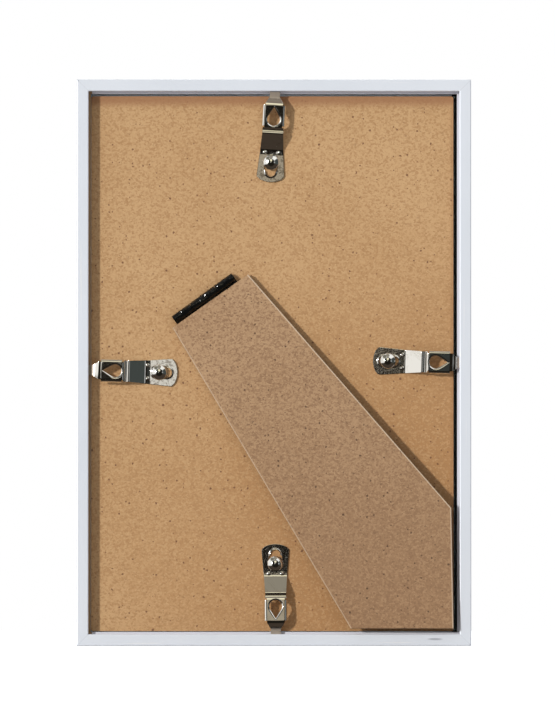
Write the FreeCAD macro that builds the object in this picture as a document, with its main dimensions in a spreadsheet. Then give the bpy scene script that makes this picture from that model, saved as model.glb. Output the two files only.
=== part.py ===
import FreeCAD, Part
import math
import os
import re
import Sketcher

# Picture frame for a 10 x 15 cm print, with an aluminium profile, a hardboard back held by four
# turning clips, and a hinged hardboard strut. Millimetres. +Z is up, the back of the frame looks
# along +Y and the glass along -Y. The origin is the centre of the frame's underside. Left and right
# are as seen from the front, so the left side lies at -X.

Vector = FreeCAD.Vector

SIZES = {
    # frame outline and section, s inward from the outer side, t backward from the front
    "FrameWidth": 110.7,
    "FrameHeight": 159.0,
    "FrontPlate": 1.2,
    "LipReach": 2.3,
    "SideWall": 1.0,
    "InnerWall": 1.0,
    "BackFlange": 1.1,
    "RimWidth": 3.3,
    "LedgeReach": 0.6,
    "LedgeWeb": 0.8,
    "GrooveHeight": 1.5,
    "RecessDepth": 4.1,
    "RimEase": 0.3,
    "FrontEase": 0.5,
    # corner keys in the chambers of the bars
    "KeyLeg": 18.0,
    "KeyFit": 0.05,
    "KeyChamfer": 0.6,
    # glass, print and back board
    "GlassThick": 2.0,
    "GlassGap": 0.5,
    "GlassArris": 0.3,
    "SheetThick": 0.2,
    "SheetInset": 0.5,
    "BoardThick": 2.5,
    "BoardGapLeft": 1.0,
    "BoardGapRight": 0.1,
    "BoardGapTop": 0.65,
    "BoardGapBottom": 0.25,
    "BoardCorner": 0.6,
    # rivets: shank through the board, domed head over the clip, spread foot in a counterbore
    "ShankRadius": 1.25,
    "ShankFit": 0.05,
    "HeadRadius": 2.2,
    "HeadRim": 0.25,
    "HeadDome": 0.95,
    "FootRadius": 2.0,
    "FootThick": 0.5,
    "FootInset": 0.1,
    "RunFit": 0.05,
    # places of the rivets along the sides of the frame
    "RivetTopAcross": 0.8,
    "RivetBottomAcross": -0.4,
    "RivetLeftUp": 80.0,
    "RivetRightDrop": 20.8,
    # how each clip is set: tongue tip to the groove's end, slot end to shank, and lean from square
    "TipGapTop": 1.55,
    "TipGapBottom": 1.45,
    "TipGapLeft": 0.35,
    "TipGapRight": 1.1,
    "SlotFreeTop": 0.38,
    "SlotFreeBottom": 0.38,
    "SlotFreeLeft": 1.78,
    "SlotFreeRight": 0.78,
    "LeanTop": -3.2,
    "LeanBottom": 0.4,
    "LeanLeft": -1.6,
    "LeanRight": -1.7,
    # clip strip: lengths of its runs, and heights of its middle plane over the board
    "ClipThick": 0.4,
    "ClipBend": 0.35,
    "TailReach": 1.55,
    "TailHalf": 3.7,
    "TailRadius": 6.6,
    "SlotLength": 5.63,
    "SlotPlay": 0.15,
    "CollarWidth": 0.45,
    "CollarRise": 0.25,
    "PipReach": 1.12,
    "PipAcross": 1.85,
    "PipRadius": 0.5,
    "BaseReach": 1.97,
    "BaseHalf": 3.2,
    "RampLength": 4.6,
    "CrestHalf": 2.9,
    "CrestRise": 3.05,
    "ValleyFall": 0.75,
    "ValleyDepth": 0.5,
    "PlateStep": 0.8,
    "PlateClimb": 0.85,
    "PlateLength": 6.55,
    "PlateHalf": 3.05,
    "SkirtDrop": 0.95,
    "SkirtBend": 0.55,
    "SlopeLength": 1.9,
    "TongueLength": 2.4,
    "TongueHalf": 1.43,
    "TearInset": 0.7,
    "TearStart": 0.3,
    "TearSide": 0.58,
    "HoleEase": 0.12,
    # hinge of the strut, set in from the board's right edge and up from the frame's underside
    "HingeInset": 31.65,
    "HingeUp": 97.6,
    "HingeAngle": 36.0,
    "OpenAngle": 2.2,
    "BarrelLength": 20.7,
    "KnuckleRadius": 1.2,
    "KnuckleGap": 0.1,
    "PinRadius": 0.5,
    "PinFit": 0.05,
    "PinInset": 0.1,
    "PinEase": 0.15,
    "LeafThick": 0.25,
    "LeafLength": 9.0,
    "NotchGap": 0.4,
    "LeafPlay": 0.05,
    "ProngHalf": 0.8,
    "ProngDepth": 1.4,
    "ProngBack": 5.5,
    "ProngSpacing": 7.5,
    "ProngFit": 0.03,
    # strut: head edge beside the barrel, foot in the lower left corner of the board
    "StrutThick": 2.0,
    "StrutArris": 0.15,
    "HeadGapRight": 0.4,
    "HeadGapLeft": 0.7,
    "HeadRight": 12.0,
    "HeadLeft": 14.0,
    "FootSideInset": 0.1,
    "FootRise": 0.65,
    "FootWidth": 28.8,
    "SideEdge": 33.8,
    "SideLean": 0.6,
    # length by which cutting shapes run past what they cut
    "CutOver": 2.0,
}

# share of the barrel that the middle knuckle takes
MIDDLE_KNUCKLE_SHARE = 0.4

# sizes that follow from the ones above
DERIVED = {
    "FrameDepth": "FrontPlate + GlassThick + SheetThick + BoardThick + RecessDepth",
    "InnerFace": "RimWidth + LedgeReach",
    "LipEdge": "InnerFace + LipReach",
    "GrooveTop": "FrameDepth - BackFlange",
    "GrooveFloor": "GrooveTop - GrooveHeight",
    "ChamberTop": "GrooveFloor - LedgeWeb",
    "ChamberSide": "InnerFace - InnerWall",
    "FrontY": "-FrameDepth / 2",
    "SheetY": "FrontY + FrontPlate + GlassThick",
    "BoardFrontY": "SheetY + SheetThick",
    "BoardBackY": "BoardFrontY + BoardThick",
    "BoardLeftX": "-FrameWidth / 2 + InnerFace + BoardGapLeft",
    "BoardRightX": "FrameWidth / 2 - InnerFace - BoardGapRight",
    "BoardLowZ": "InnerFace + BoardGapBottom",
    "BoardHighZ": "FrameHeight - InnerFace - BoardGapTop",
    "GlassHalf": "FrameWidth / 2 - InnerFace - GlassGap",
    "GlassLowZ": "InnerFace + GlassGap",
    "GlassHighZ": "FrameHeight - InnerFace - GlassGap",
    "KeyNear": "SideWall + KeyFit",
    "KeyFar": "ChamberSide - KeyFit",
    "HingeAcross": "BoardRightX - HingeInset",
    "RivetRightUp": "HingeUp - RivetRightDrop",
    "SlotHalf": "ShankRadius + SlotPlay",
    "SlotSetTop": "SlotLength - ShankRadius - SlotFreeTop",
    "SlotSetBottom": "SlotLength - ShankRadius - SlotFreeBottom",
    "SlotSetLeft": "SlotLength - ShankRadius - SlotFreeLeft",
    "SlotSetRight": "SlotLength - ShankRadius - SlotFreeRight",
    "RivetTopInset": "SideWall + TipGapTop + TongueTip - SlotSetTop",
    "RivetBottomInset": "SideWall + TipGapBottom + TongueTip - SlotSetBottom",
    "RivetLeftInset": "SideWall + TipGapLeft + TongueTip - SlotSetLeft",
    "RivetRightInset": "SideWall + TipGapRight + TongueTip - SlotSetRight",
    "BaseEnd": "SlotLength + BaseReach",
    "PipUp": "SlotLength + PipReach",
    "CrestUp": "BaseEnd + RampLength",
    "ValleyUp": "CrestUp + ValleyFall",
    "PlateUp": "ValleyUp + PlateStep",
    "ValleyRise": "CrestRise - ValleyDepth",
    "PlateRise": "ValleyRise + PlateClimb",
    "BaseMiddle": "RunFit + ClipThick / 2",
    "BaseTop": "RunFit + ClipThick",
    "HeadSeat": "BaseTop + CollarRise + RunFit",
    "PlateTop": "PlateRise + ClipThick / 2",
    "PlateEnd": "PlateUp + PlateLength",
    "SlopeEnd": "PlateEnd + SlopeLength",
    "TongueTip": "SlopeEnd + TongueLength",
    "TongueMiddle": "RecessDepth - BackFlange - RunFit - ClipThick / 2",
    "TearApex": "PlateEnd - TearInset",
    "TearLength": "PlateLength - TearInset - TearStart",
    "TearRadius": "PlateHalf - SkirtBend - TearSide",
    "TearCentre": "TearApex - TearLength + TearRadius",
    "TearSpan": "TearLength - TearRadius",
    "TearTouchUp": "TearRadius * TearRadius / TearSpan",
    "TearTouchAcross": "TearRadius * sqrt(1 - TearRadius * TearRadius / TearSpan / TearSpan)",
    "HingeRise": "KnuckleRadius + RunFit",
    "LeafNotch": "KnuckleRadius + NotchGap",
    "BoardLeafY": "-HingeRise",
    "StrutLeafY": "-HingeRise + LeafThick + LeafPlay",
    "StrutUnderY": "StrutLeafY + LeafThick",
    "StrutTopY": "StrutUnderY + StrutThick",
    "MiddleHalf": "BarrelLength / 2 * %s" % MIDDLE_KNUCKLE_SHARE,
    "OuterStart": "MiddleHalf + KnuckleGap",
    "FootX": "BoardLeftX + FootSideInset - HingeAcross",
    "FootZ": "BoardLowZ + FootRise - HingeUp",
    "ToeX": "FootX + FootWidth",
    "SideX": "FootX + SideLean",
    "SideZ": "FootZ + SideEdge",
}


doc = FreeCAD.newDocument("PictureFrame")
sheet = doc.addObject("Spreadsheet::Sheet", "Sizes")
for row, (alias, number) in enumerate(SIZES.items(), start=1):
    sheet.set("A%d" % row, alias)
    sheet.set("B%d" % row, str(number))
    sheet.setAlias("B%d" % row, alias)
doc.recompute()


def sized(text):
    """The expression that reads the sheet, for a sum written in the names of sizes."""
    def read(match):
        word = match.group(0)
        if word in DERIVED:
            return "(" + sized(DERIVED[word]) + ")"
        if word in SIZES:
            return "Sizes." + word
        return word
    return re.sub(r"[A-Z][A-Za-z]*", read, text)


def value(text):
    """The number that such a sum has now."""
    return float(sheet.evalExpression(sized(text)))


nodes = []


def new_body(name, base=("0", "0", "0"), turns=()):
    """A body that is one node; turns are (axis, angle) pairs, the outermost turn first."""
    body = doc.addObject("PartDesign::Body", name)
    body.Label = name
    spin = " * ".join("rotation(vector(%s); %s)" % (axis, sized(angle)) for axis, angle in turns)
    place = "placement(vector(%s); %s)" % ("; ".join(sized(b) for b in base), spin or "rotation(vector(0; 1; 0); 0)")
    body.setExpression("Placement", place)
    nodes.append(body)
    return body


def new_sketch(body, name, role, level="0"):
    """A sketch on one of the body's origin planes, moved to a level along +Z, +Y or +X."""
    sketch = body.newObject("Sketcher::SketchObject", name)
    plane = [part for part in body.Origin.OriginFeatures if part.Role == role][0]
    sketch.AttachmentSupport = [(plane, "")]
    sketch.MapMode = "FlatFace"
    sign = "-" if role == "XZ_Plane" else ""
    sketch.setExpression("AttachmentOffset.Base.z", sized("%s(%s)" % (sign, level)))
    return sketch


def bind(sketch, kind, geometry, point, text):
    """Hold one coordinate of a point at a size from the sheet."""
    index = sketch.addConstraint(Sketcher.Constraint(kind, -1, 1, geometry, point, value(text)))
    name = "%s%d" % (kind, index)
    sketch.renameConstraint(index, name)
    sketch.setExpression("Constraints.%s" % name, sized(text))


def bind_radius(sketch, geometry, text):
    """Hold the radius of a circle or arc at a size from the sheet."""
    index = sketch.addConstraint(Sketcher.Constraint("Radius", geometry, value(text)))
    name = "Radius%d" % index
    sketch.renameConstraint(index, name)
    sketch.setExpression("Constraints.%s" % name, sized(text))


def arc_between(start, end, radius, far):
    """The arc that runs anticlockwise from start to end; far takes the longer one of the two."""
    chord = end - start
    rise = math.sqrt(max(radius * radius - chord.Length ** 2 / 4, 0))
    left = Vector(-chord.y, chord.x, 0)
    left.normalize()
    centre = (start + end) * 0.5 + left * (-rise if far else rise)
    first = math.atan2(start.y - centre.y, start.x - centre.x)
    last = math.atan2(end.y - centre.y, end.x - centre.x)
    return Part.ArcOfCircle(Part.Circle(centre, Vector(0, 0, 1), radius), first, last)


def outline(sketch, corners, arcs=None):
    """A closed outline through corners, each held by two sizes. arcs gives, for a side that is an
    arc, its radius and its way round: "out" is anticlockwise, "in" clockwise and "far" an
    anticlockwise arc of more than half a circle. Sides are numbered by the corner they leave."""
    arcs = arcs or {}
    points = [Vector(value(across), value(up), 0) for across, up in corners]
    first = sketch.GeometryCount
    count = len(points)
    ends = []
    for side in range(count):
        start, end = points[side], points[(side + 1) % count]
        way = arcs[side][1] if side in arcs else "straight"
        ends.append((2, 1) if way == "in" else (1, 2))
        if way == "straight":
            sketch.addGeometry(Part.LineSegment(start, end))
        elif way == "in":
            sketch.addGeometry(arc_between(end, start, value(arcs[side][0]), False))
        else:
            sketch.addGeometry(arc_between(start, end, value(arcs[side][0]), way == "far"))
    for side in range(count):
        after = (side + 1) % count
        link = Sketcher.Constraint("Coincident", first + side, ends[side][1], first + after, ends[after][0])
        sketch.addConstraint(link)
    for side, (across, up) in enumerate(corners):
        bind(sketch, "DistanceX", first + side, ends[side][0], across)
        bind(sketch, "DistanceY", first + side, ends[side][0], up)
    for side, (radius, way) in arcs.items():
        bind_radius(sketch, first + side, radius)


def box_outline(sketch, left, low, right, high):
    """A closed rectangle."""
    outline(sketch, [(left, low), (right, low), (right, high), (left, high)])


def slot_outline(sketch, half, low, high):
    """A slot along the sketch's upright axis: two straight sides and two half circles whose
    centres are level with the ends of the sides."""
    first = sketch.GeometryCount
    wide, bottom, top = value(half), value(low), value(high)
    corners = [(half, low), (half, high), ("-(%s)" % half, high), ("-(%s)" % half, low)]
    points = [Vector(wide, bottom, 0), Vector(wide, top, 0), Vector(-wide, top, 0), Vector(-wide, bottom, 0)]
    sketch.addGeometry(Part.LineSegment(points[0], points[1]))
    sketch.addGeometry(Part.ArcOfCircle(Part.Circle(Vector(0, top, 0), Vector(0, 0, 1), wide), 0, math.pi))
    sketch.addGeometry(Part.LineSegment(points[2], points[3]))
    lower = Part.Circle(Vector(0, bottom, 0), Vector(0, 0, 1), wide)
    sketch.addGeometry(Part.ArcOfCircle(lower, math.pi, 2 * math.pi))
    for side in range(4):
        sketch.addConstraint(Sketcher.Constraint("Coincident", first + side, 2, first + (side + 1) % 4, 1))
    for side, (across, up) in enumerate(corners):
        bind(sketch, "DistanceX", first + side, 1, across)
        bind(sketch, "DistanceY", first + side, 1, up)
    bind(sketch, "DistanceY", first + 1, 3, high)
    bind(sketch, "DistanceY", first + 3, 3, low)


def circle(sketch, across, up, radius):
    """A circle with its centre and radius held."""
    centre = Vector(value(across), value(up), 0)
    index = sketch.addGeometry(Part.Circle(centre, Vector(0, 0, 1), value(radius)))
    bind(sketch, "DistanceX", index, 3, across)
    bind(sketch, "DistanceY", index, 3, up)
    bind_radius(sketch, index, radius)


def pad(body, sketch, length, reverse=False, both_ways=False):
    """Material raised from a sketch."""
    feature = body.newObject("PartDesign::Pad", sketch.Name + "Pad")
    feature.Profile = sketch
    feature.setExpression("Length", sized(length))
    feature.Midplane = both_ways
    feature.Reversed = reverse
    doc.recompute()
    return feature


def pocket(body, sketch, length, reverse=False, both_ways=False):
    """Material cut away below a sketch; a cut that takes nothing is an error."""
    before = body.Tip.Shape.Volume
    feature = body.newObject("PartDesign::Pocket", sketch.Name + "Cut")
    feature.Profile = sketch
    feature.setExpression("Length", sized(length))
    feature.Midplane = both_ways
    feature.Reversed = reverse
    doc.recompute()
    if not feature.Shape.Volume < before:
        raise RuntimeError("%s cuts nothing" % feature.Name)
    return feature


def dress(body, kind, name, size, chosen):
    """A fillet or a chamfer on the edges that chosen picks from the body so far."""
    base = body.Tip
    picked = ["Edge%d" % number for number, edge in enumerate(base.Shape.Edges, start=1) if chosen(edge)]
    if not picked:
        raise RuntimeError("%s finds no edge" % name)
    feature = body.newObject("PartDesign::" + kind, name)
    feature.Base = (base, picked)
    feature.setExpression("Radius" if kind == "Fillet" else "Size", sized(size))
    doc.recompute()
    return feature


NEAR = 1e-4


def lies(edge, x=None, y=None, z=None):
    """True for an edge all of whose points have the given coordinates."""
    box = edge.BoundBox
    spans = ((x, box.XMin, box.XMax), (y, box.YMin, box.YMax), (z, box.ZMin, box.ZMax))
    return all(at is None or (abs(low - at) < NEAR and abs(high - at) < NEAR) for at, low, high in spans)


# Frame bars: one aluminium section, cut at 45 degrees. A flat front plate with a lip over the glass,
# a closed chamber for the corner keys, an open groove above it for the clips' tongues, and the
# back flange, which is the rim seen from behind.
def frame_bar(name, length, base, turn):
    body = new_body(name, base, [("0; 1; 0", turn)])
    section = new_sketch(body, name + "_section", "YZ_Plane")
    front, back = "FrontY", "FrontY + FrameDepth"
    groove_top, groove_floor = "FrontY + GrooveTop", "FrontY + GrooveFloor"
    outline(section, [
        (front, "0"), (back, "0"), (back, "RimWidth"), (groove_top, "RimWidth"), (groove_top, "SideWall"),
        (groove_floor, "SideWall"), (groove_floor, "InnerFace"), ("FrontY + FrontPlate", "InnerFace"),
        ("FrontY + FrontPlate", "LipEdge"), (front, "LipEdge")])
    box_outline(section, "FrontY + FrontPlate", "SideWall", "FrontY + ChamberTop", "ChamberSide")
    pad(body, section, length, both_ways=True)
    rim = ((value(back), value("RimWidth")), (value(back), 0.0))
    dress(body, "Fillet", name + "_rim_ease", "RimEase",
          lambda edge: any(lies(edge, y=y, z=z) for y, z in rim))
    lip = ((value(front), 0.0), (value(front), value("LipEdge")))
    dress(body, "Fillet", name + "_front_ease", "FrontEase",
          lambda edge: any(lies(edge, y=y, z=z) for y, z in lip))
    mitres = new_sketch(body, name + "_mitres", "XZ_Plane")
    for side in ("-", ""):
        end = "%s(%s) / 2" % (side, length)
        beyond = "%s %s CutOver" % (end, side or "+")
        inward = "%s %s (LipEdge + CutOver)" % (end, "+" if side else "-")
        corners = [(beyond, "-CutOver"), (inward, "LipEdge + CutOver"), (beyond, "LipEdge + CutOver")]
        outline(mitres, corners if side else corners[::-1])
    pocket(body, mitres, "FrameDepth + CutOver", both_ways=True)


frame_bar("frame_bar_bottom", "FrameWidth", ("0", "0", "0"), "0")
frame_bar("frame_bar_top", "FrameWidth", ("0", "0", "FrameHeight"), "180")
frame_bar("frame_bar_left", "FrameHeight", ("-FrameWidth / 2", "0", "FrameHeight / 2"), "90")
frame_bar("frame_bar_right", "FrameHeight", ("FrameWidth / 2", "0", "FrameHeight / 2"), "-90")


# Corner keys: L-shaped plates pressed into the chambers of two bars, which hold the mitre shut.
def corner_key(name, base, turn):
    body = new_body(name, base, [("0; 1; 0", turn)])
    shape = new_sketch(body, name + "_shape", "XZ_Plane", "FrontY + FrontPlate + KeyFit")
    outline(shape, [
        ("KeyNear", "KeyNear"), ("KeyLeg", "KeyNear"), ("KeyLeg", "KeyFar"), ("KeyFar", "KeyFar"),
        ("KeyFar", "KeyLeg"), ("KeyNear", "KeyLeg")])
    pad(body, shape, "ChamberTop - FrontPlate - 2 * KeyFit", reverse=True)
    leg, near, far = value("KeyLeg"), value("KeyNear"), value("KeyFar")
    ends = ((leg, near), (leg, far), (far, leg), (near, leg))
    dress(body, "Chamfer", name + "_lead", "KeyChamfer",
          lambda edge: any(lies(edge, x=x, z=z) for x, z in ends))


corner_key("corner_key_bottom_left", ("-FrameWidth / 2", "0", "0"), "0")
corner_key("corner_key_bottom_right", ("FrameWidth / 2", "0", "0"), "-90")
corner_key("corner_key_top_right", ("FrameWidth / 2", "0", "FrameHeight"), "180")
corner_key("corner_key_top_left", ("-FrameWidth / 2", "0", "FrameHeight"), "90")


# Glass pane behind the lip, with its arrises taken off, and the blank print sheet behind it.
glass = new_body("glass_pane")
glass_shape = new_sketch(glass, "glass_shape", "XZ_Plane", "FrontY + FrontPlate")
box_outline(glass_shape, "-GlassHalf", "GlassLowZ", "GlassHalf", "GlassHighZ")
pad(glass, glass_shape, "GlassThick", reverse=True)
glass_faces = (value("FrontY + FrontPlate"), value("SheetY"))
dress(glass, "Chamfer", "glass_arris", "GlassArris", lambda edge: any(lies(edge, y=y) for y in glass_faces))

print_sheet = new_body("insert_sheet")
print_shape = new_sketch(print_sheet, "sheet_shape", "XZ_Plane", "SheetY")
box_outline(print_shape, "-GlassHalf + SheetInset", "GlassLowZ + SheetInset",
            "GlassHalf - SheetInset", "GlassHighZ - SheetInset")
pad(print_sheet, print_shape, "SheetThick", reverse=True)

# The clips: the turn that points a clip's own +Z at its side of the frame, and its rivet's place.
CLIPS = {
    "top": ("LeanTop", "SlotSetTop", "RivetTopAcross", "FrameHeight - RivetTopInset"),
    "bottom": ("180 + LeanBottom", "SlotSetBottom", "RivetBottomAcross", "RivetBottomInset"),
    "left": ("-90 + LeanLeft", "SlotSetLeft", "-FrameWidth / 2 + RivetLeftInset", "RivetLeftUp"),
    "right": ("90 + LeanRight", "SlotSetRight", "FrameWidth / 2 - RivetRightInset", "RivetRightUp"),
}

# Back board: hardboard, with a hole and a front counterbore for each rivet and three blind slots
# for the prongs of the hinge's board leaf.
board = new_body("back_board")
board_shape = new_sketch(board, "board_shape", "XZ_Plane", "BoardFrontY")
box_outline(board_shape, "BoardLeftX", "BoardLowZ", "BoardRightX", "BoardHighZ")
pad(board, board_shape, "BoardThick", reverse=True)
board_x = (value("BoardLeftX"), value("BoardRightX"))
board_z = (value("BoardLowZ"), value("BoardHighZ"))
dress(board, "Fillet", "board_corners", "BoardCorner",
      lambda edge: any(lies(edge, x=x, z=z) for x in board_x for z in board_z))
rivet_holes = new_sketch(board, "rivet_holes", "XZ_Plane")
counterbores = new_sketch(board, "counterbores", "XZ_Plane", "BoardFrontY")
for turn, slot_set, across, up in CLIPS.values():
    circle(rivet_holes, across, up, "ShankRadius + ShankFit")
    circle(counterbores, across, up, "FootRadius + FootInset")
pocket(board, rivet_holes, "FrameDepth", both_ways=True)
pocket(board, counterbores, "FootInset + FootThick + RunFit", reverse=False)


def prong_rows(sketch, spare):
    """Three narrow rectangles in a row beside the hinge axis, seen square to the board."""
    for place in ("-ProngSpacing", "0", "ProngSpacing"):
        box_outline(sketch, "%s - ProngHalf - %s" % (place, spare), "-ProngBack - LeafThick - %s" % spare,
                    "%s + ProngHalf + %s" % (place, spare), "-ProngBack + %s" % spare)


HINGE_PLACE = ("HingeAcross", "BoardBackY + HingeRise", "HingeUp")
HINGE_TURN = ("0; 1; 0", "HingeAngle")
prong_slots = new_sketch(board, "prong_slots", "XZ_Plane", "BoardBackY")
prong_slots.setExpression("AttachmentOffset.Base.x", sized("HingeAcross"))
prong_slots.setExpression("AttachmentOffset.Base.y", sized("HingeUp"))
prong_slots.setExpression("AttachmentOffset.Rotation.Angle", sized("-HingeAngle"))
prong_rows(prong_slots, "ProngFit")
pocket(board, prong_slots, "ProngDepth + ProngFit", reverse=True)


# Rivets: a turned profile with a domed head over the clip, a shank through slot and board, and a
# foot spread into the counterbore. Origin on the board's back, axis +Y.
def rivet(name, across, up):
    body = new_body(name, (across, "BoardBackY", up))
    profile = new_sketch(body, name + "_profile", "XY_Plane")
    foot = "-BoardThick + FootInset"
    radius = "(HeadRadius * HeadRadius + HeadDome * HeadDome) / (2 * HeadDome)"
    outline(profile, [
        ("0", foot), ("FootRadius", foot), ("FootRadius", foot + " + FootThick"),
        ("ShankRadius", foot + " + FootThick"), ("ShankRadius", "HeadSeat"), ("HeadRadius", "HeadSeat"),
        ("HeadRadius", "HeadSeat + HeadRim"), ("0", "HeadSeat + HeadRim + HeadDome")], {6: (radius, "out")})
    turned = body.newObject("PartDesign::Revolution", name + "_turned")
    turned.Profile = profile
    turned.ReferenceAxis = (profile, ["V_Axis"])
    turned.Angle = 360
    doc.recompute()


# Clips: a nickel-plated strip, bent along its length and cut to outline. Its own origin is the tail
# end of the slot, on the board's back; +Z points to the tongue and +Y away from the board.
def strip_path(body, name):
    """The middle plane of the strip in side view: straight runs joined by tangent bends."""
    sketch = new_sketch(body, name, "YZ_Plane")
    corners = [
        ("BaseMiddle", "-TailReach - CutOver"), ("BaseMiddle", "BaseEnd"), ("CrestRise", "CrestUp"),
        ("ValleyRise", "ValleyUp"), ("PlateRise", "PlateUp"), ("PlateRise", "PlateEnd"),
        ("TongueMiddle", "SlopeEnd"), ("TongueMiddle", "TongueTip + CutOver")]
    points = [Vector(value(rise), value(along), 0) for rise, along in corners]
    radius = value("ClipBend")
    runs = len(points) - 1
    lines, arcs = [], []
    start = points[0]
    for run in range(runs):
        ahead = points[run + 1] - points[run]
        ahead.normalize()
        if run + 1 == runs:
            lines.append(Part.LineSegment(start, points[-1]))
            break
        after = points[run + 2] - points[run + 1]
        after.normalize()
        turn = math.atan2(ahead.x * after.y - ahead.y * after.x, ahead.dot(after))
        back = radius * math.tan(abs(turn) / 2)
        touch = points[run + 1] - ahead * back
        leave = points[run + 1] + after * back
        lines.append(Part.LineSegment(start, touch))
        side = Vector(-ahead.y, ahead.x, 0) * math.copysign(radius, turn)
        centre = touch + side
        first = math.atan2(touch.y - centre.y, touch.x - centre.x)
        last = math.atan2(leave.y - centre.y, leave.x - centre.x)
        span = (first, last) if turn > 0 else (last, first)
        arcs.append((Part.ArcOfCircle(Part.Circle(centre, Vector(0, 0, 1), radius), *span), turn > 0))
        start = leave
    order = []
    for run in range(runs):
        order.append((lines[run], None))
        if run < len(arcs):
            order.append(arcs[run])
    for shape, forward in order:
        sketch.addGeometry(shape)
    for bend, (shape, forward) in enumerate(arcs):
        line, arc = 2 * bend, 2 * bend + 1
        sketch.addConstraint(Sketcher.Constraint("Tangent", line, 2, arc, 1 if forward else 2))
        sketch.addConstraint(Sketcher.Constraint("Tangent", line + 2, 1, arc, 2 if forward else 1))
        bind_radius(sketch, arc, "ClipBend")
    bind(sketch, "DistanceX", 0, 1, corners[0][0])
    bind(sketch, "DistanceY", 0, 1, corners[0][1])
    bind(sketch, "DistanceX", 2 * runs - 2, 2, corners[-1][0])
    bind(sketch, "DistanceY", 2 * runs - 2, 2, corners[-1][1])
    for number in range(1, runs):
        corner = sketch.addGeometry(Part.Point(points[number]), True)
        bind(sketch, "DistanceX", corner, 1, corners[number][0])
        bind(sketch, "DistanceY", corner, 1, corners[number][1])
        sketch.addConstraint(Sketcher.Constraint("PointOnObject", corner, 1, 2 * number - 2))
        sketch.addConstraint(Sketcher.Constraint("PointOnObject", corner, 1, 2 * number))
    return sketch


def clip(name, lean, slot_set, across, up):
    back_x = "%s - %s * sin(%s)" % (across, slot_set, lean)
    back_z = "%s - %s * cos(%s)" % (up, slot_set, lean)
    body = new_body(name, (back_x, "BoardBackY", back_z), [("0; 1; 0", lean)])
    path = strip_path(body, name + "_path")
    strip = new_sketch(body, name + "_strip", "XY_Plane", "-TailReach - CutOver")
    box_outline(strip, "-TailHalf - CutOver", "RunFit", "TailHalf + CutOver", "BaseTop")
    doc.recompute()
    sweep = body.newObject("PartDesign::AdditivePipe", name + "_bent")
    sweep.Profile = strip
    sweep.Spine = (path, [])
    doc.recompute()
    blank = new_sketch(body, name + "_blank", "XZ_Plane")
    tail_corner = "TailRadius - TailReach - sqrt(TailRadius * TailRadius - TailHalf * TailHalf)"
    wide, ends = "TailHalf + 2 * CutOver", ("-TailReach - 2 * CutOver", "TongueTip + 2 * CutOver")
    box_outline(blank, "-(%s)" % wide, ends[0], wide, ends[1])
    half = [("TailHalf", tail_corner), ("BaseHalf", "BaseEnd"), ("CrestHalf", "CrestUp"),
            ("CrestHalf", "ValleyUp"), ("PlateHalf - SkirtBend", "PlateUp"),
            ("PlateHalf - SkirtBend", "PlateEnd"), ("TongueHalf", "SlopeEnd"), ("TongueHalf", "TongueTip")]
    mirrored = [("-(%s)" % side, along) for side, along in reversed(half)]
    outline(blank, half + mirrored, {len(half + mirrored) - 1: ("TailRadius", "out")})
    pocket(body, blank, "2 * (PlateTop + CutOver)", both_ways=True)
    skirts = new_sketch(body, name + "_skirts", "XY_Plane", "PlateUp + ClipBend")
    for side, inner, outer in (("", "in", "out"), ("-", "out", "in")):
        corners = [
            (side + "(PlateHalf - SkirtBend)", "PlateTop - ClipThick"),
            (side + "(PlateHalf - ClipThick)", "PlateTop - SkirtBend"),
            (side + "(PlateHalf - ClipThick)", "PlateTop - SkirtDrop"),
            (side + "PlateHalf", "PlateTop - SkirtDrop"),
            (side + "PlateHalf", "PlateTop - SkirtBend"),
            (side + "(PlateHalf - SkirtBend)", "PlateTop")]
        outline(skirts, corners, {0: ("SkirtBend - ClipThick", inner), 4: ("SkirtBend", outer)})
    pad(body, skirts, "PlateLength - 2 * ClipBend")
    collar = new_sketch(body, name + "_collar", "XZ_Plane", "BaseTop")
    slot_outline(collar, "SlotHalf + CollarWidth", "SlotHalf", "SlotLength - SlotHalf")
    pad(body, collar, "CollarRise", reverse=True)
    slot = new_sketch(body, name + "_slot", "XZ_Plane", "0")
    slot_outline(slot, "SlotHalf", "SlotHalf", "SlotLength - SlotHalf")
    pocket(body, slot, "2 * (BaseTop + CollarRise + CutOver)", both_ways=True)
    tear = new_sketch(body, name + "_tear", "XZ_Plane", "PlateTop + CutOver")
    touch = "TearCentre + TearTouchUp"
    outline(tear, [("0", "TearApex"), ("-TearTouchAcross", touch), ("TearTouchAcross", touch)],
            {1: ("TearRadius", "far")})
    pocket(body, tear, "2 * CutOver", reverse=True)
    for side in ("", "-"):
        pip = body.newObject("PartDesign::AdditiveSphere", name + "_pip")
        pip.setExpression("Radius", sized("PipRadius"))
        pip.Angle1 = 0
        low = sized("BaseTop - PipRadius / 4")
        pip.setExpression("Placement", "placement(vector(%s; %s; %s); rotation(vector(1; 0; 0); -90))"
                          % (sized(side + "PipAcross"), low, sized("PipUp")))
        doc.recompute()
    top = value("PlateTop")
    low, high = value("TearApex - TearLength"), value("TearApex")
    dress(body, "Fillet", name + "_tear_ease", "HoleEase",
          lambda edge_: lies(edge_, y=top) and edge_.BoundBox.ZMin > low - NEAR
          and edge_.BoundBox.ZMax < high + NEAR and abs(edge_.BoundBox.Center.x) < value("TearRadius"))
    ring = value("BaseTop + CollarRise")
    dress(body, "Fillet", name + "_collar_ease", "HoleEase", lambda edge_: lies(edge_, y=ring))


for side, (lean, slot_set, across, up) in CLIPS.items():
    rivet("rivet_" + side, across, up)
    clip("clip_" + side, lean, slot_set, across, up)


# Hinge of the strut. Its own frame has the pin's axis as X, +Y away from the board and -Z towards
# the strut. Two thin leaves lie face to face between board and strut: the board leaf carries the
# outer knuckles, the strut leaf the middle one.
def knuckle(body, name, start, length):
    ring = new_sketch(body, name, "YZ_Plane", start)
    circle(ring, "0", "0", "KnuckleRadius")
    circle(ring, "0", "0", "PinRadius + PinFit")
    pad(body, ring, length)


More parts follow.
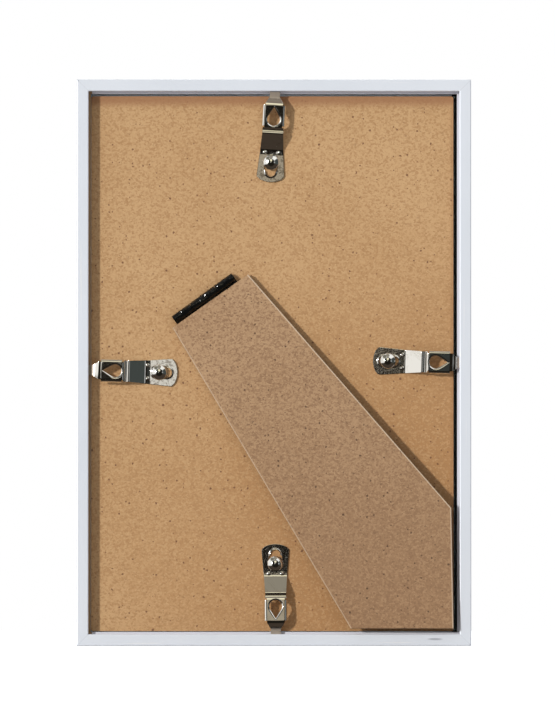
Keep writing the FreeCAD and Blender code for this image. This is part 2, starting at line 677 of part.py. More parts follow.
board_leaf = new_body("hinge_board_leaf", HINGE_PLACE, [HINGE_TURN])
board_flat = new_sketch(board_leaf, "board_leaf_flat", "XZ_Plane", "BoardLeafY")
outline(board_flat, [
    ("-BarrelLength / 2", "-LeafLength"), ("BarrelLength / 2", "-LeafLength"), ("BarrelLength / 2", "0"),
    ("OuterStart", "0"), ("OuterStart", "-LeafNotch"), ("-OuterStart", "-LeafNotch"), ("-OuterStart", "0"),
    ("-BarrelLength / 2", "0")])
pad(board_leaf, board_flat, "LeafThick", reverse=True)
knuckle(board_leaf, "knuckle_upper", "-BarrelLength / 2", "BarrelLength / 2 - OuterStart")
knuckle(board_leaf, "knuckle_lower", "OuterStart", "BarrelLength / 2 - OuterStart")
board_prongs = new_sketch(board_leaf, "board_prongs", "XZ_Plane", "BoardLeafY - ProngDepth")
prong_rows(board_prongs, "0")
pad(board_leaf, board_prongs, "ProngDepth + LeafThick / 2", reverse=True)

pin = new_body("hinge_pin", HINGE_PLACE, [HINGE_TURN])
pin_round = new_sketch(pin, "pin_round", "YZ_Plane")
circle(pin_round, "0", "0", "PinRadius")
pad(pin, pin_round, "BarrelLength - 2 * PinInset", both_ways=True)
pin_end = value("BarrelLength / 2 - PinInset")
dress(pin, "Fillet", "pin_ease", "PinEase", lambda edge: lies(edge, x=pin_end) or lies(edge, x=-pin_end))

# Strut leaf and strut, turned about the pin by the angle at which the strut stands open.
STRUT_TURNS = [HINGE_TURN, ("1; 0; 0", "OpenAngle")]
strut_leaf = new_body("hinge_strut_leaf", HINGE_PLACE, STRUT_TURNS)
strut_flat = new_sketch(strut_leaf, "strut_leaf_flat", "XZ_Plane", "StrutLeafY")
outline(strut_flat, [
    ("-BarrelLength / 2", "-LeafLength"), ("BarrelLength / 2", "-LeafLength"),
    ("BarrelLength / 2", "-LeafNotch"), ("MiddleHalf", "-LeafNotch"), ("MiddleHalf", "0"),
    ("-MiddleHalf", "0"), ("-MiddleHalf", "-LeafNotch"), ("-BarrelLength / 2", "-LeafNotch")])
pad(strut_leaf, strut_flat, "LeafThick", reverse=True)
knuckle(strut_leaf, "knuckle_middle", "-MiddleHalf", "2 * MiddleHalf")
strut_prongs = new_sketch(strut_leaf, "strut_prongs", "XZ_Plane", "StrutLeafY + LeafThick / 2")
prong_rows(strut_prongs, "0")
pad(strut_leaf, strut_prongs, "LeafThick / 2 + ProngDepth", reverse=True)


def seen_along_hinge(across, up):
    """A point given square to the frame, from the hinge's middle, in the hinge's own directions."""
    along = "(%s) * cos(HingeAngle) - (%s) * sin(HingeAngle)" % (across, up)
    away = "(%s) * sin(HingeAngle) + (%s) * cos(HingeAngle)" % (across, up)
    return along, away


strut = new_body("strut_board", HINGE_PLACE, STRUT_TURNS)
strut_shape = new_sketch(strut, "strut_shape", "XZ_Plane", "StrutUnderY")
outline(strut_shape, [
    ("HeadRight", "-KnuckleRadius - HeadGapRight"), ("-HeadLeft", "-KnuckleRadius - HeadGapLeft"),
    seen_along_hinge("SideX", "SideZ"), seen_along_hinge("FootX", "FootZ"), seen_along_hinge("ToeX", "FootZ")])
pad(strut, strut_shape, "StrutThick", reverse=True)
strut_top = value("StrutTopY")
dress(strut, "Chamfer", "strut_arris", "StrutArris", lambda edge: lies(edge, y=strut_top))
leaf_slots = new_sketch(strut, "leaf_slots", "XZ_Plane", "StrutUnderY")
prong_rows(leaf_slots, "ProngFit")
pocket(strut, leaf_slots, "ProngDepth + ProngFit", reverse=False)


doc.recompute()
for item in doc.Objects:
    if "Invalid" in item.State or "Error" in item.State:
        raise RuntimeError("%s is %s" % (item.Name, item.State))
for body in nodes:
    if body.Shape.isNull() or not body.Shape.isValid() or len(body.Shape.Solids) != 1:
        raise RuntimeError("%s has no single valid solid" % body.Label)
    for feature in body.Group:
        if feature.isDerivedFrom("Sketcher::SketchObject") and feature.solve() != 0:
            raise RuntimeError("sketch %s isn't solved" % feature.Name)

os.makedirs("parts", exist_ok=True)
for body in nodes:
    body.Shape.exportStep(os.path.join("parts", body.Label + ".step"))
    box = body.Shape.BoundBox
    print("%-24s %9.2f mm3  x %.2f %.2f  y %.2f %.2f  z %.2f %.2f" % (
        body.Label, body.Shape.Volume, box.XMin, box.XMax, box.YMin, box.YMax, box.ZMin, box.ZMax))
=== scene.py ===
import math

import bmesh
import bpy
import numpy as np
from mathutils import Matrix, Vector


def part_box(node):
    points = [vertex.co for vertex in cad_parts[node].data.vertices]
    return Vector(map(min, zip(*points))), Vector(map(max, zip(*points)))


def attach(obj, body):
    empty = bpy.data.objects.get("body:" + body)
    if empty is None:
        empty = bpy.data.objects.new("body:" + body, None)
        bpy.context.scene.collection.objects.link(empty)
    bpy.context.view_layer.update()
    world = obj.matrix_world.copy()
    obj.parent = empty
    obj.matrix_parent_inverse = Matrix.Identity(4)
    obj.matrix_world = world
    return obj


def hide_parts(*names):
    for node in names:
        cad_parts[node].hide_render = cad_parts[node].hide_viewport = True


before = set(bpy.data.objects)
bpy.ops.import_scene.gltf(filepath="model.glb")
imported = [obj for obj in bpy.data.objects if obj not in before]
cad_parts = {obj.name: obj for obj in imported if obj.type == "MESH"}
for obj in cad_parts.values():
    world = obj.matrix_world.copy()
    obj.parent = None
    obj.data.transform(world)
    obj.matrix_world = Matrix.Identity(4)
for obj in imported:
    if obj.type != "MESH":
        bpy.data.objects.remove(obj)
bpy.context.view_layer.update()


# Frame bars
# Four lengths of one aluminium extrusion, mitred at the corners and matt anodised. The grain left by
# the die and the brushing runs along each bar, and the cut ends meet in a hairline joint.
def add(tree, kind, **settings):
    """A node of the given kind in a node tree, with its settings."""
    node = tree.nodes.new(kind)
    for name, value in settings.items():
        setattr(node, name, value)
    return node


def feed(tree, target, value):
    """Gives an input socket its value: a number, a colour, or the output of another node."""
    if isinstance(value, bpy.types.NodeSocket):
        tree.links.new(value, target)
    else:
        target.default_value = value


def math_node(tree, operation, first, second=0.0, third=0.0):
    """The result of one sum on numbers or outputs."""
    node = add(tree, "ShaderNodeMath", operation=operation)
    for socket, value in zip(node.inputs, (first, second, third)):
        feed(tree, socket, value)
    return node.outputs["Value"]


def vector_math(tree, operation, first, second=(0, 0, 0), third=(0, 0, 0)):
    """The result of one sum on places: a number for a length, a distance or a dot product, otherwise a
    place."""
    node = add(tree, "ShaderNodeVectorMath", operation=operation)
    for socket, value in zip(node.inputs, (first, second, third)):
        feed(tree, socket, value)
    return node.outputs["Value" if operation in ("LENGTH", "DISTANCE", "DOT_PRODUCT") else "Vector"]


def parts_of(tree, place):
    """The X, Y and Z of a place, by name."""
    node = add(tree, "ShaderNodeSeparateXYZ")
    feed(tree, node.inputs[0], place)
    return node.outputs


def band(tree, value, start, end):
    """A mask that rises smoothly from 0 at start to 1 at end; start may be the larger."""
    node = add(tree, "ShaderNodeMapRange", interpolation_type="SMOOTHSTEP")
    feed(tree, node.inputs["Value"], value)
    low, high = min(start, end), max(start, end)
    node.inputs["From Min"].default_value = low
    node.inputs["From Max"].default_value = high
    node.inputs["To Min"].default_value = 0.0 if start < end else 1.0
    node.inputs["To Max"].default_value = 1.0 if start < end else 0.0
    return node.outputs["Result"]


def mix(tree, factor, first, second):
    """A colour between two colours."""
    node = add(tree, "ShaderNodeMix", data_type="RGBA")
    feed(tree, node.inputs["Factor"], factor)
    feed(tree, node.inputs[6], first)
    feed(tree, node.inputs[7], second)
    return node.outputs[2]


def noise(tree, place, scale, detail=2.0, roughness=0.5, distortion=0.0):
    """Three-dimensional noise with values about 0.5."""
    node = add(tree, "ShaderNodeTexNoise")
    feed(tree, node.inputs["Vector"], place)
    feed(tree, node.inputs["Scale"], scale)
    node.inputs["Detail"].default_value = detail
    node.inputs["Roughness"].default_value = roughness
    node.inputs["Distortion"].default_value = distortion
    return node.outputs["Fac"]


def new_group(name, inputs, outputs):
    """A shader node group with named sockets; returns the tree and its input and output nodes."""
    tree = bpy.data.node_groups.new(name, "ShaderNodeTree")
    for label, (kind, value) in inputs.items():
        socket = tree.interface.new_socket(label, in_out="INPUT", socket_type="NodeSocket" + kind)
        socket.default_value = value
    for label, kind in outputs.items():
        tree.interface.new_socket(label, in_out="OUTPUT", socket_type="NodeSocket" + kind)
    return tree, add(tree, "NodeGroupInput"), add(tree, "NodeGroupOutput")


def place_group(tree, group, **values):
    """A group placed in a material, with values for its named inputs."""
    node = add(tree, "ShaderNodeGroup", node_tree=group)
    for label, value in values.items():
        feed(tree, node.inputs[label.replace("_", " ")], value)
    return node


def new_material(name, **fixed):
    """A material with a Principled shader whose constant values are set on its own sockets."""
    material = bpy.data.materials.new(name)
    material.use_nodes = True
    tree = material.node_tree
    shader = tree.nodes["Principled BSDF"]
    for label, value in fixed.items():
        shader.inputs[label.replace("_", " ")].default_value = value
    spot = add(tree, "ShaderNodeTexCoord").outputs["Object"]
    return material, tree, shader, spot


def bump(tree, shader, height, distance, strength=1.0):
    """Feeds a height, worth the given distance in metres, to the shader's normal."""
    node = add(tree, "ShaderNodeBump")
    node.inputs["Strength"].default_value = strength
    node.inputs["Distance"].default_value = distance
    feed(tree, node.inputs["Height"], height)
    feed(tree, shader.inputs["Normal"], node.outputs["Normal"])


def drawn_grain_group():
    """Grain drawn out along one direction: noise squeezed across it and stretched along it, in two
    sizes, plus a few deeper scratches where a coarser drawn noise comes near its top."""
    tree, given, made = new_group(
        "drawn grain",
        {"Place": ("Vector", (0, 0, 0)), "Stretch": ("Vector", (1, 1, 1))},
        {"Height": "Float", "Scratch": "Float", "Cloud": "Float"})
    drawn = vector_math(tree, "MULTIPLY", given.outputs["Place"], given.outputs["Stretch"])
    fine = noise(tree, drawn, 5200.0, 3.0, 0.6)
    broad = noise(tree, drawn, 900.0, 2.0, 0.5)
    feed(tree, made.inputs["Height"], math_node(tree, "MULTIPLY_ADD", fine, 0.6, broad))
    deep = noise(tree, drawn, 1700.0, 1.0, 0.4)
    feed(tree, made.inputs["Scratch"], band(tree, deep, 0.70, 0.80))
    feed(tree, made.inputs["Cloud"], noise(tree, given.outputs["Place"], 28.0, 3.0, 0.55))
    return tree


MILLIMETRE = 0.001
FRAME_WIDTH = 2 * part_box("frame_bar_bottom")[1].x
FRAME_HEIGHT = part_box("frame_bar_top")[1].z
RIM_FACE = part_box("frame_bar_top")[1].y
RIM_WIDTH = 3.3 * MILLIMETRE
LIP_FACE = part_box("glass_pane")[0].y
BOARD_LOW, BOARD_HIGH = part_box("back_board")

# The middles of two dented corners and of a scratch, in metres, and how far each is drawn out
KNOCKS = (((0.0550, 0.0052, 0.1586), (1, 1, 1)),
          ((-0.0551, 0.0052, 0.0003), (1, 1, 1)),
          ((-0.0452, 0.0050, 0.0019), (0.16, 1, 1)))


def from_outline(tree, parts):
    """How far a place lies in from the frame's sides, and from its top or underside: half the frame's
    size less the distance from its middle."""
    side = math_node(tree, "SUBTRACT", FRAME_WIDTH / 2, math_node(tree, "ABSOLUTE", parts["X"]))
    centred = math_node(tree, "SUBTRACT", parts["Z"], FRAME_HEIGHT / 2)
    return side, math_node(tree, "SUBTRACT", FRAME_HEIGHT / 2, math_node(tree, "ABSOLUTE", centred))


def mitre_group():
    """A hairline where two bars meet: the distance from the side and the distance from the top or
    underside are equal there. Knocks are small dark marks, within a squashed distance of a middle."""
    tree, given, made = new_group("mitre joint", {"Place": ("Vector", (0, 0, 0))},
                                  {"Line": "Float", "Knock": "Float"})
    side, end = from_outline(tree, parts_of(tree, given.outputs["Place"]))
    apart = math_node(tree, "ABSOLUTE", math_node(tree, "SUBTRACT", side, end))
    feed(tree, made.inputs["Line"], band(tree, apart, 0.16 * MILLIMETRE, 0.04 * MILLIMETRE))
    knocks = []
    for middle, squash in KNOCKS:
        moved = vector_math(tree, "SUBTRACT", given.outputs["Place"], middle)
        far = vector_math(tree, "LENGTH", vector_math(tree, "MULTIPLY", moved, squash))
        knocks.append(band(tree, far, 0.42 * MILLIMETRE, 0.16 * MILLIMETRE))
    knock = math_node(tree, "MAXIMUM", math_node(tree, "MAXIMUM", knocks[0], knocks[1]), knocks[2])
    feed(tree, made.inputs["Knock"], math_node(tree, "MULTIPLY", knock, 0.5))
    return tree


def inside_group():
    """The faces inside the frame's opening, which the brushing didn't reach: those further in from the
    outline than the rim's width, from just below the board's outer face to just below the rim's. The second
    mask is the strip of them by the board's edge on the side where board and bar touch, where a painted
    reflection of the board in shade goes. The third is the gap on the other side, from the board's outer face
    down to the front lip, where painted shade goes."""
    tree, given, made = new_group("inside of the bars", {"Place": ("Vector", (0, 0, 0))},
                                  {"Inside": "Float", "Board Reflection": "Float", "Gap Shade": "Float"})
    parts = parts_of(tree, given.outputs["Place"])
    side, end = from_outline(tree, parts)
    inward = band(tree, math_node(tree, "MINIMUM", side, end), RIM_WIDTH - 0.08 * MILLIMETRE, RIM_WIDTH)
    below_rim = band(tree, parts["Y"], RIM_FACE - 0.1 * MILLIMETRE, RIM_FACE - 0.4 * MILLIMETRE)
    above_board = band(tree, parts["Y"], BOARD_HIGH.y - 0.9 * MILLIMETRE, BOARD_HIGH.y - 0.6 * MILLIMETRE)
    inside = math_node(tree, "MULTIPLY", inward, math_node(tree, "MULTIPLY", below_rim, above_board))
    feed(tree, made.inputs["Inside"], inside)
    touching = band(tree, parts["X"], BOARD_HIGH.x - 0.35 * MILLIMETRE, BOARD_HIGH.x - 0.15 * MILLIMETRE)
    feed(tree, made.inputs["Board Reflection"], math_node(tree, "MULTIPLY", inside, touching))
    below_board = band(tree, parts["Y"], BOARD_HIGH.y + 0.2 * MILLIMETRE, BOARD_HIGH.y - 0.2 * MILLIMETRE)
    above_lip = band(tree, parts["Y"], LIP_FACE - 0.3 * MILLIMETRE, LIP_FACE - 0.1 * MILLIMETRE)
    gap = band(tree, parts["X"], BOARD_LOW.x + 0.45 * MILLIMETRE, BOARD_LOW.x + 0.15 * MILLIMETRE)
    gap = math_node(tree, "MULTIPLY", math_node(tree, "MULTIPLY", below_board, above_lip), gap)
    feed(tree, made.inputs["Gap Shade"], math_node(tree, "MULTIPLY", inward, gap))
    return tree


GRAIN = drawn_grain_group()
MITRE = mitre_group()
INSIDE = inside_group()


def anodised_aluminium(name, stretch):
    """Satin aluminium whose grain is drawn out along one axis: the clouded clean tone, then scratches, mitre
    lines, knocks, the duller inside, a painted reflection of the board on the shaded ledge and painted shade
    in the deep gap, each laid over the last by its mask."""
    material, tree, shader, spot = new_material(name)
    grain = place_group(tree, GRAIN, Place=spot, Stretch=stretch)
    joint = place_group(tree, MITRE, Place=spot)
    within = place_group(tree, INSIDE, Place=spot)
    clean = mix(tree, grain.outputs["Cloud"], (0.730, 0.770, 0.835, 1), (0.770, 0.805, 0.865, 1))
    marked = mix(tree, grain.outputs["Scratch"], clean, (0.84, 0.86, 0.90, 1))
    jointed = mix(tree, joint.outputs["Line"], marked, (0.67, 0.70, 0.76, 1))
    jointed = mix(tree, joint.outputs["Knock"], jointed, (0.12, 0.12, 0.16, 1))
    dull = mix(tree, within.outputs["Inside"], jointed, (0.70, 0.70, 0.76, 1))
    # Painted reflection: the ledge by the board's edge, where board and bar touch, is coloured brown as the
    # board mirrored in its shade.
    board_reflected = mix(tree, within.outputs["Board Reflection"], dull, (0.36, 0.22, 0.11, 1))
    # Painted shade: the deep gap between the board's -X edge and the bar, down to the front lip, is coloured
    # near black.
    gap_shaded = mix(tree, within.outputs["Gap Shade"], board_reflected, (0.022, 0.022, 0.026, 1))
    feed(tree, shader.inputs["Base Color"], gap_shaded)
    metallic = math_node(tree, "MULTIPLY_ADD", within.outputs["Inside"], -0.2, 0.3)
    feed(tree, shader.inputs["Metallic"], metallic)
    rough = math_node(tree, "MULTIPLY_ADD", grain.outputs["Cloud"], 0.12, 0.40)
    rough = math_node(tree, "MULTIPLY_ADD", grain.outputs["Scratch"], -0.08, rough)
    feed(tree, shader.inputs["Roughness"], rough)
    bump(tree, shader, grain.outputs["Height"], 0.004 * MILLIMETRE)
    return material


level_metal = anodised_aluminium("anodised aluminium, level bars", (0.02, 1.0, 1.0))
upright_metal = anodised_aluminium("anodised aluminium, upright bars", (1.0, 1.0, 0.02))


def finish_node(name, material):
    """Gives a piece that comes from the frame its finish."""
    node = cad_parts[name]
    node.data.materials.clear()
    node.data.materials.append(material)


for side in ("bottom", "top"):
    finish_node("frame_bar_" + side, level_metal)
for side in ("left", "right"):
    finish_node("frame_bar_" + side, upright_metal)

# Corner keys
# Plain aluminium angles that hold the mitres together from inside the bars' chambers. They are die
# cut, so they keep a dull, slightly clouded mill finish.
key_metal, key_tree, key_shader, key_spot = new_material("mill finish aluminium", Metallic=1.0)
key_cloud = noise(key_tree, key_spot, 300.0, 4.0, 0.6)
feed(key_tree, key_shader.inputs["Base Color"],
     mix(key_tree, key_cloud, (0.45, 0.46, 0.48, 1), (0.62, 0.63, 0.65, 1)))
feed(key_tree, key_shader.inputs["Roughness"], band(key_tree, key_cloud, -0.4, 2.0))
for corner in ("bottom_left", "bottom_right", "top_left", "top_right"):
    finish_node("corner_key_" + corner, key_metal)


# Glass pane
# Clear float glass, cut to size and with its edge ground, so the edge is matt and greener. It lies
# behind the front lip, and a few faint finger marks are on it.
def marks_group():
    """Finger marks: cloudy patches broken up by fine noise."""
    tree, given, made = new_group(
        "finger marks", {"Place": ("Vector", (0, 0, 0)), "Size": ("Float", 60.0)}, {"Smudge": "Float"})
    patch = noise(tree, given.outputs["Place"], given.outputs["Size"], 3.0, 0.6, 0.6)
    fine_scale = math_node(tree, "MULTIPLY", given.outputs["Size"], 22.0)
    fine = noise(tree, given.outputs["Place"], fine_scale, 2.0, 0.5)
    smudge = math_node(tree, "MULTIPLY", band(tree, patch, 0.50, 0.72), band(tree, fine, 0.30, 0.75))
    feed(tree, made.inputs["Smudge"], smudge)
    return tree


MARKS = marks_group()
clear_glass, glass_tree, glass_shader, glass_spot = new_material(
    "clear float glass", Metallic=0.0, IOR=1.5, Transmission_Weight=1.0)
glass_marks = place_group(glass_tree, MARKS, Place=glass_spot, Size=34.0)
glass_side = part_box("glass_pane")[1].x
from_middle = math_node(glass_tree, "ABSOLUTE", parts_of(glass_tree, glass_spot)["X"])
edge_side = band(glass_tree, from_middle, glass_side - 0.35 * MILLIMETRE, glass_side - 0.25 * MILLIMETRE)
feed(glass_tree, glass_shader.inputs["Base Color"],
     mix(glass_tree, edge_side, (0.975, 0.99, 0.985, 1), (0.55, 0.75, 0.68, 1)))
smudged = math_node(glass_tree, "MULTIPLY_ADD", glass_marks.outputs["Smudge"], 0.10, 0.005)
ground = math_node(glass_tree, "MULTIPLY", edge_side, 0.5)
feed(glass_tree, glass_shader.inputs["Roughness"], math_node(glass_tree, "MAXIMUM", smudged, ground))
glass_ray = add(glass_tree, "ShaderNodeLightPath")
plain_light = math_node(glass_tree, "MAXIMUM", glass_ray.outputs["Is Shadow Ray"],
                        glass_ray.outputs["Is Diffuse Ray"])
let_through = add(glass_tree, "ShaderNodeBsdfTransparent")
let_through.inputs["Color"].default_value = (0.93, 0.95, 0.94, 1)
glass_choice = add(glass_tree, "ShaderNodeMixShader")
feed(glass_tree, glass_choice.inputs[0], plain_light)
feed(glass_tree, glass_choice.inputs[1], glass_shader.outputs[0])
feed(glass_tree, glass_choice.inputs[2], let_through.outputs[0])
feed(glass_tree, glass_tree.nodes["Material Output"].inputs["Surface"], glass_choice.outputs[0])
finish_node("glass_pane", clear_glass)

# Insert sheet
# The blank sheet of paper that comes in the frame, where the print goes, between glass and board. It
# is matt and very slightly uneven in tone, as uncoated paper is.
paper, paper_tree, paper_shader, paper_spot = new_material("blank paper", Roughness=0.9)
paper_fibre = noise(paper_tree, paper_spot, 2600.0, 4.0, 0.65)
paper_cloud = noise(paper_tree, paper_spot, 45.0, 2.0, 0.5)
paper_tone = mix(paper_tree, paper_fibre, (0.80, 0.79, 0.76, 1), (0.90, 0.895, 0.87, 1))
feed(paper_tree, paper_shader.inputs["Base Color"],
     mix(paper_tree, math_node(paper_tree, "MULTIPLY", paper_cloud, 0.25), paper_tone, (0.78, 0.76, 0.71, 1)))
bump(paper_tree, paper_shader, paper_fibre, 0.01 * MILLIMETRE)
finish_node("insert_sheet", paper)


# Back board
# Brown hardboard, pressed from wood fibre, with its smooth side out and its edges sawn. It lies on the insert
# sheet inside the bars, and the clips hold it down. A band along its upper edge is darkened as painted shade
# under the top bar's rim, and a narrower band along its -X edge is darkened too.
def scattered(tree, place, scale):
    """Cells about scattered points, which give each place its cell's own chance colour and its distance
    from the cell's point."""
    node = add(tree, "ShaderNodeTexVoronoi", feature="F1")
    feed(tree, node.inputs["Vector"], place)
    feed(tree, node.inputs["Scale"], scale)
    return node.outputs


def chance(tree, cells):
    """A number from 0 to 1 that each cell has by chance: the red of its colour."""
    node = add(tree, "ShaderNodeSeparateColor")
    feed(tree, node.inputs[0], cells["Color"])
    return node.outputs["Red"]


def lay(tree, under, over, mask, share):
    """One colour over another, as thick as a mask times a share."""
    return mix(tree, math_node(tree, "MULTIPLY", mask, share), under, over)


def pressed_fibre_group():
    """Hardboard: a base tone clouded by broad noise, turned to a darker tone about a middle as painted shade,
    mottled by mid-size noise, with fibres from noise squeezed along two directions, grains that are cells
    about scattered points, each in a tone of its own, and specks about the points of wider cells, sized by a
    power of the cell's chance number."""
    tree, given, made = new_group(
        "pressed fibre",
        {"Place": ("Vector", (0, 0, 0)), "Base": ("Color", (0.5, 0.3, 0.15, 1)),
         "Pale": ("Color", (0.6, 0.4, 0.2, 1)), "Deep": ("Color", (0.4, 0.22, 0.1, 1)),
         "Bark": ("Color", (0.12, 0.06, 0.03, 1)), "Bark Share": ("Float", 0.5),
         "Fibre Share": ("Float", 0.5), "Dash Share": ("Float", 0.3), "Damp": ("Color", (0.4, 0.2, 0.09, 1)),
         "Damp Middle": ("Vector", (0, 0, 0)), "Damp Reach": ("Float", 0.1)},
        {"Color": "Color", "Roughness": "Float", "Height": "Float"})
    spot = given.outputs["Place"]
    cloud = noise(tree, spot, 34.0, 3.0, 0.55)
    mottle = noise(tree, spot, 860.0, 4.0, 0.66)
    grit = noise(tree, spot, 2600.0, 3.0, 0.6)
    toned = mix(tree, band(tree, cloud, 0.25, 0.75), given.outputs["Base"], given.outputs["Pale"])

    # Painted shade: the tone darkens towards a middle within a reach, and the pale fibres and pale grains
    # fade there.
    away = vector_math(tree, "DISTANCE", spot, given.outputs["Damp Middle"])
    shade_share = band(tree, math_node(tree, "DIVIDE", away, given.outputs["Damp Reach"]), 1.0, 0.2)
    toned = mix(tree, shade_share, toned, given.outputs["Damp"])
    toned = lay(tree, toned, given.outputs["Deep"], band(tree, mottle, 0.48, 0.66), 0.42)

    fibres = []
    for turn in (1.10, -0.55):
        squeezed = add(tree, "ShaderNodeMapping")
        squeezed.inputs["Rotation"].default_value = (0, turn, 0)
        squeezed.inputs["Scale"].default_value = (0.45, 1.0, 1.0)
        feed(tree, squeezed.inputs["Vector"], spot)
        fibres.append(noise(tree, squeezed.outputs["Vector"], 2300.0, 2.0, 0.55, 0.4))
    pale_fibre = math_node(tree, "MULTIPLY", band(tree, fibres[0], 0.52, 0.66), given.outputs["Fibre Share"])
    dark_fibre = math_node(tree, "MULTIPLY", band(tree, fibres[1], 0.56, 0.66), given.outputs["Fibre Share"])
    unshaded = math_node(tree, "MULTIPLY_ADD", shade_share, -0.65, 1.0)
    toned = lay(tree, toned, given.outputs["Pale"], pale_fibre, unshaded)
    toned = mix(tree, dark_fibre, toned, given.outputs["Deep"])
    dash = band(tree, noise(tree, squeezed.outputs["Vector"], 1750.0, 1.0, 0.5, 0.8), 0.69, 0.76)
    toned = lay(tree, toned, given.outputs["Bark"], dash, given.outputs["Dash Share"])

    wobble = noise(tree, spot, 1400.0).node.outputs["Color"]
    bent = vector_math(tree, "MULTIPLY_ADD", wobble, (0.6 * MILLIMETRE,) * 3, spot)
    tint = chance(tree, scattered(tree, bent, 2100.0))
    toned = lay(tree, toned, given.outputs["Deep"], band(tree, tint, 0.50, 1.0), 0.70)
    light = lay(tree, given.outputs["Pale"], given.outputs["Base"], shade_share, 0.45)
    toned = lay(tree, toned, light, band(tree, tint, 0.45, 0.0), 0.55)

    cells = scattered(tree, bent, 1050.0)
    reach = math_node(tree, "MULTIPLY", chance(tree, cells), given.outputs["Bark Share"])
    size = math_node(tree, "MULTIPLY", math_node(tree, "POWER", reach, 7.0), 0.36)
    speck = band(tree, math_node(tree, "SUBTRACT", size, cells["Distance"]), -0.04, 0.08)
    feed(tree, made.inputs["Color"], lay(tree, toned, given.outputs["Bark"], speck, 0.85))
    feed(tree, made.inputs["Roughness"], math_node(tree, "MULTIPLY_ADD", mottle, 0.25, 0.55))
    high = math_node(tree, "MULTIPLY_ADD", grit, 0.5, mottle)
    feed(tree, made.inputs["Height"], math_node(tree, "MULTIPLY_ADD", pale_fibre, 0.4, high))
    return tree


FIBRE = pressed_fibre_group()


def hardboard(name, **tones):
    """Matt hardboard in the given tones, whose fibres and mottle stand up to 0.05 mm high."""
    material, tree, shader, spot = new_material(name, Specular_IOR_Level=0.3)
    fibre = place_group(tree, FIBRE, Place=spot, **tones)
    feed(tree, shader.inputs["Base Color"], fibre.outputs["Color"])
    feed(tree, shader.inputs["Roughness"], fibre.outputs["Roughness"])
    bump(tree, shader, fibre.outputs["Height"], 0.05 * MILLIMETRE, 0.8)
    return material, tree, shader, spot


# The last three tones give a painted shade that darkens the board towards its low -X corner.
board_brown, board_tree, board_shader, board_spot = hardboard(
    "brown hardboard", Base=(0.468, 0.278, 0.127, 1), Pale=(0.535, 0.335, 0.164, 1),
    Deep=(0.365, 0.198, 0.083, 1), Bark=(0.145, 0.060, 0.028, 1), Bark_Share=1.0, Fibre_Share=0.6,
    Dash_Share=0.35, Damp=(0.375, 0.192, 0.073, 1), Damp_Middle=(-0.052, 0.0, 0.020), Damp_Reach=0.122)
board_parts = parts_of(board_tree, board_spot)
# Painted shade: a band under the top bar's rim is darkened. A narrower band along the -X edge is darkened as
# well.
rim_shade = band(board_tree, board_parts["Z"], BOARD_HIGH.z - 3.85 * MILLIMETRE,
                   BOARD_HIGH.z - 1.05 * MILLIMETRE)
darker_beside = band(board_tree, board_parts["X"], BOARD_LOW.x + 1.25 * MILLIMETRE,
                    BOARD_LOW.x + 0.15 * MILLIMETRE)
shade_and_darker_edge = math_node(board_tree, "MAXIMUM", math_node(board_tree, "MULTIPLY", rim_shade, 0.85),
                    math_node(board_tree, "MULTIPLY", darker_beside, 0.45))
board_tone = board_shader.inputs["Base Color"].links[0].from_socket
board_tone = mix(board_tree, shade_and_darker_edge, board_tone, (0.315, 0.150, 0.068, 1))
feed(board_tree, board_shader.inputs["Base Color"], board_tone)
finish_node("back_board", board_brown)

# Rivets
# Nickel-plated steel rivets with domed heads, one to each clip. The punch that set them has left the
# dome a little flatter on top, with a faint ring, and the foot is spread under the board.
def smooth_mesh(name, places, faces):
    """A mesh from a whole array of places in millimetres and of faces, shaded smooth."""
    mesh = bpy.data.meshes.new(name)
    mesh.from_pydata((np.asarray(places) * MILLIMETRE).tolist(), [], np.asarray(faces).tolist())
    mesh.polygons.foreach_set("use_smooth", np.ones(len(mesh.polygons), dtype=bool))
    return mesh


def grid_faces(rows, columns, first=0, closed=False):
    """The four-sided faces of a grid of points numbered row by row from first. A closed grid joins its
    last column to its first."""
    across = columns if closed else columns - 1
    row, column = np.meshgrid(np.arange(rows - 1), np.arange(across), indexing="ij")
    after = (column + 1) % columns
    corners = (row * columns + column, row * columns + after,
               (row + 1) * columns + after, (row + 1) * columns + column)
    return np.stack(corners, axis=-1).reshape(-1, 4) + first


def turned(profile, around=64):
    """A profile of (radius, height) pairs spun about the height axis: the point at angle a is
    (radius cos a, height, radius sin a). Each end of the profile closes with a ring of no radius."""
    angle = np.linspace(0, 2 * np.pi, around, endpoint=False)
    radius, height = np.asarray(profile).T
    places = np.stack([np.outer(radius, np.cos(angle)), np.repeat(height[:, None], around, axis=1),
                       np.outer(radius, np.sin(angle))], axis=-1)
    return places.reshape(-1, 3), grid_faces(len(radius), around, closed=True)


def new_piece(name, mesh, body, material, replaced=None):
    """Puts a finished mesh in the scene as a piece that rides on a body and stands for a node."""
    sewn = bmesh.new()
    sewn.from_mesh(mesh)
    bmesh.ops.remove_doubles(sewn, verts=sewn.verts, dist=1e-6)
    bmesh.ops.dissolve_degenerate(sewn, edges=sewn.edges, dist=1e-7)
    bmesh.ops.recalc_face_normals(sewn, faces=sewn.faces)
    sewn.to_mesh(mesh)
    sewn.free()
    piece = bpy.data.objects.new(name, mesh)
    bpy.context.scene.collection.objects.link(piece)
    mesh.materials.append(material)
    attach(piece, body)
    if replaced:
        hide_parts(replaced)
    return piece


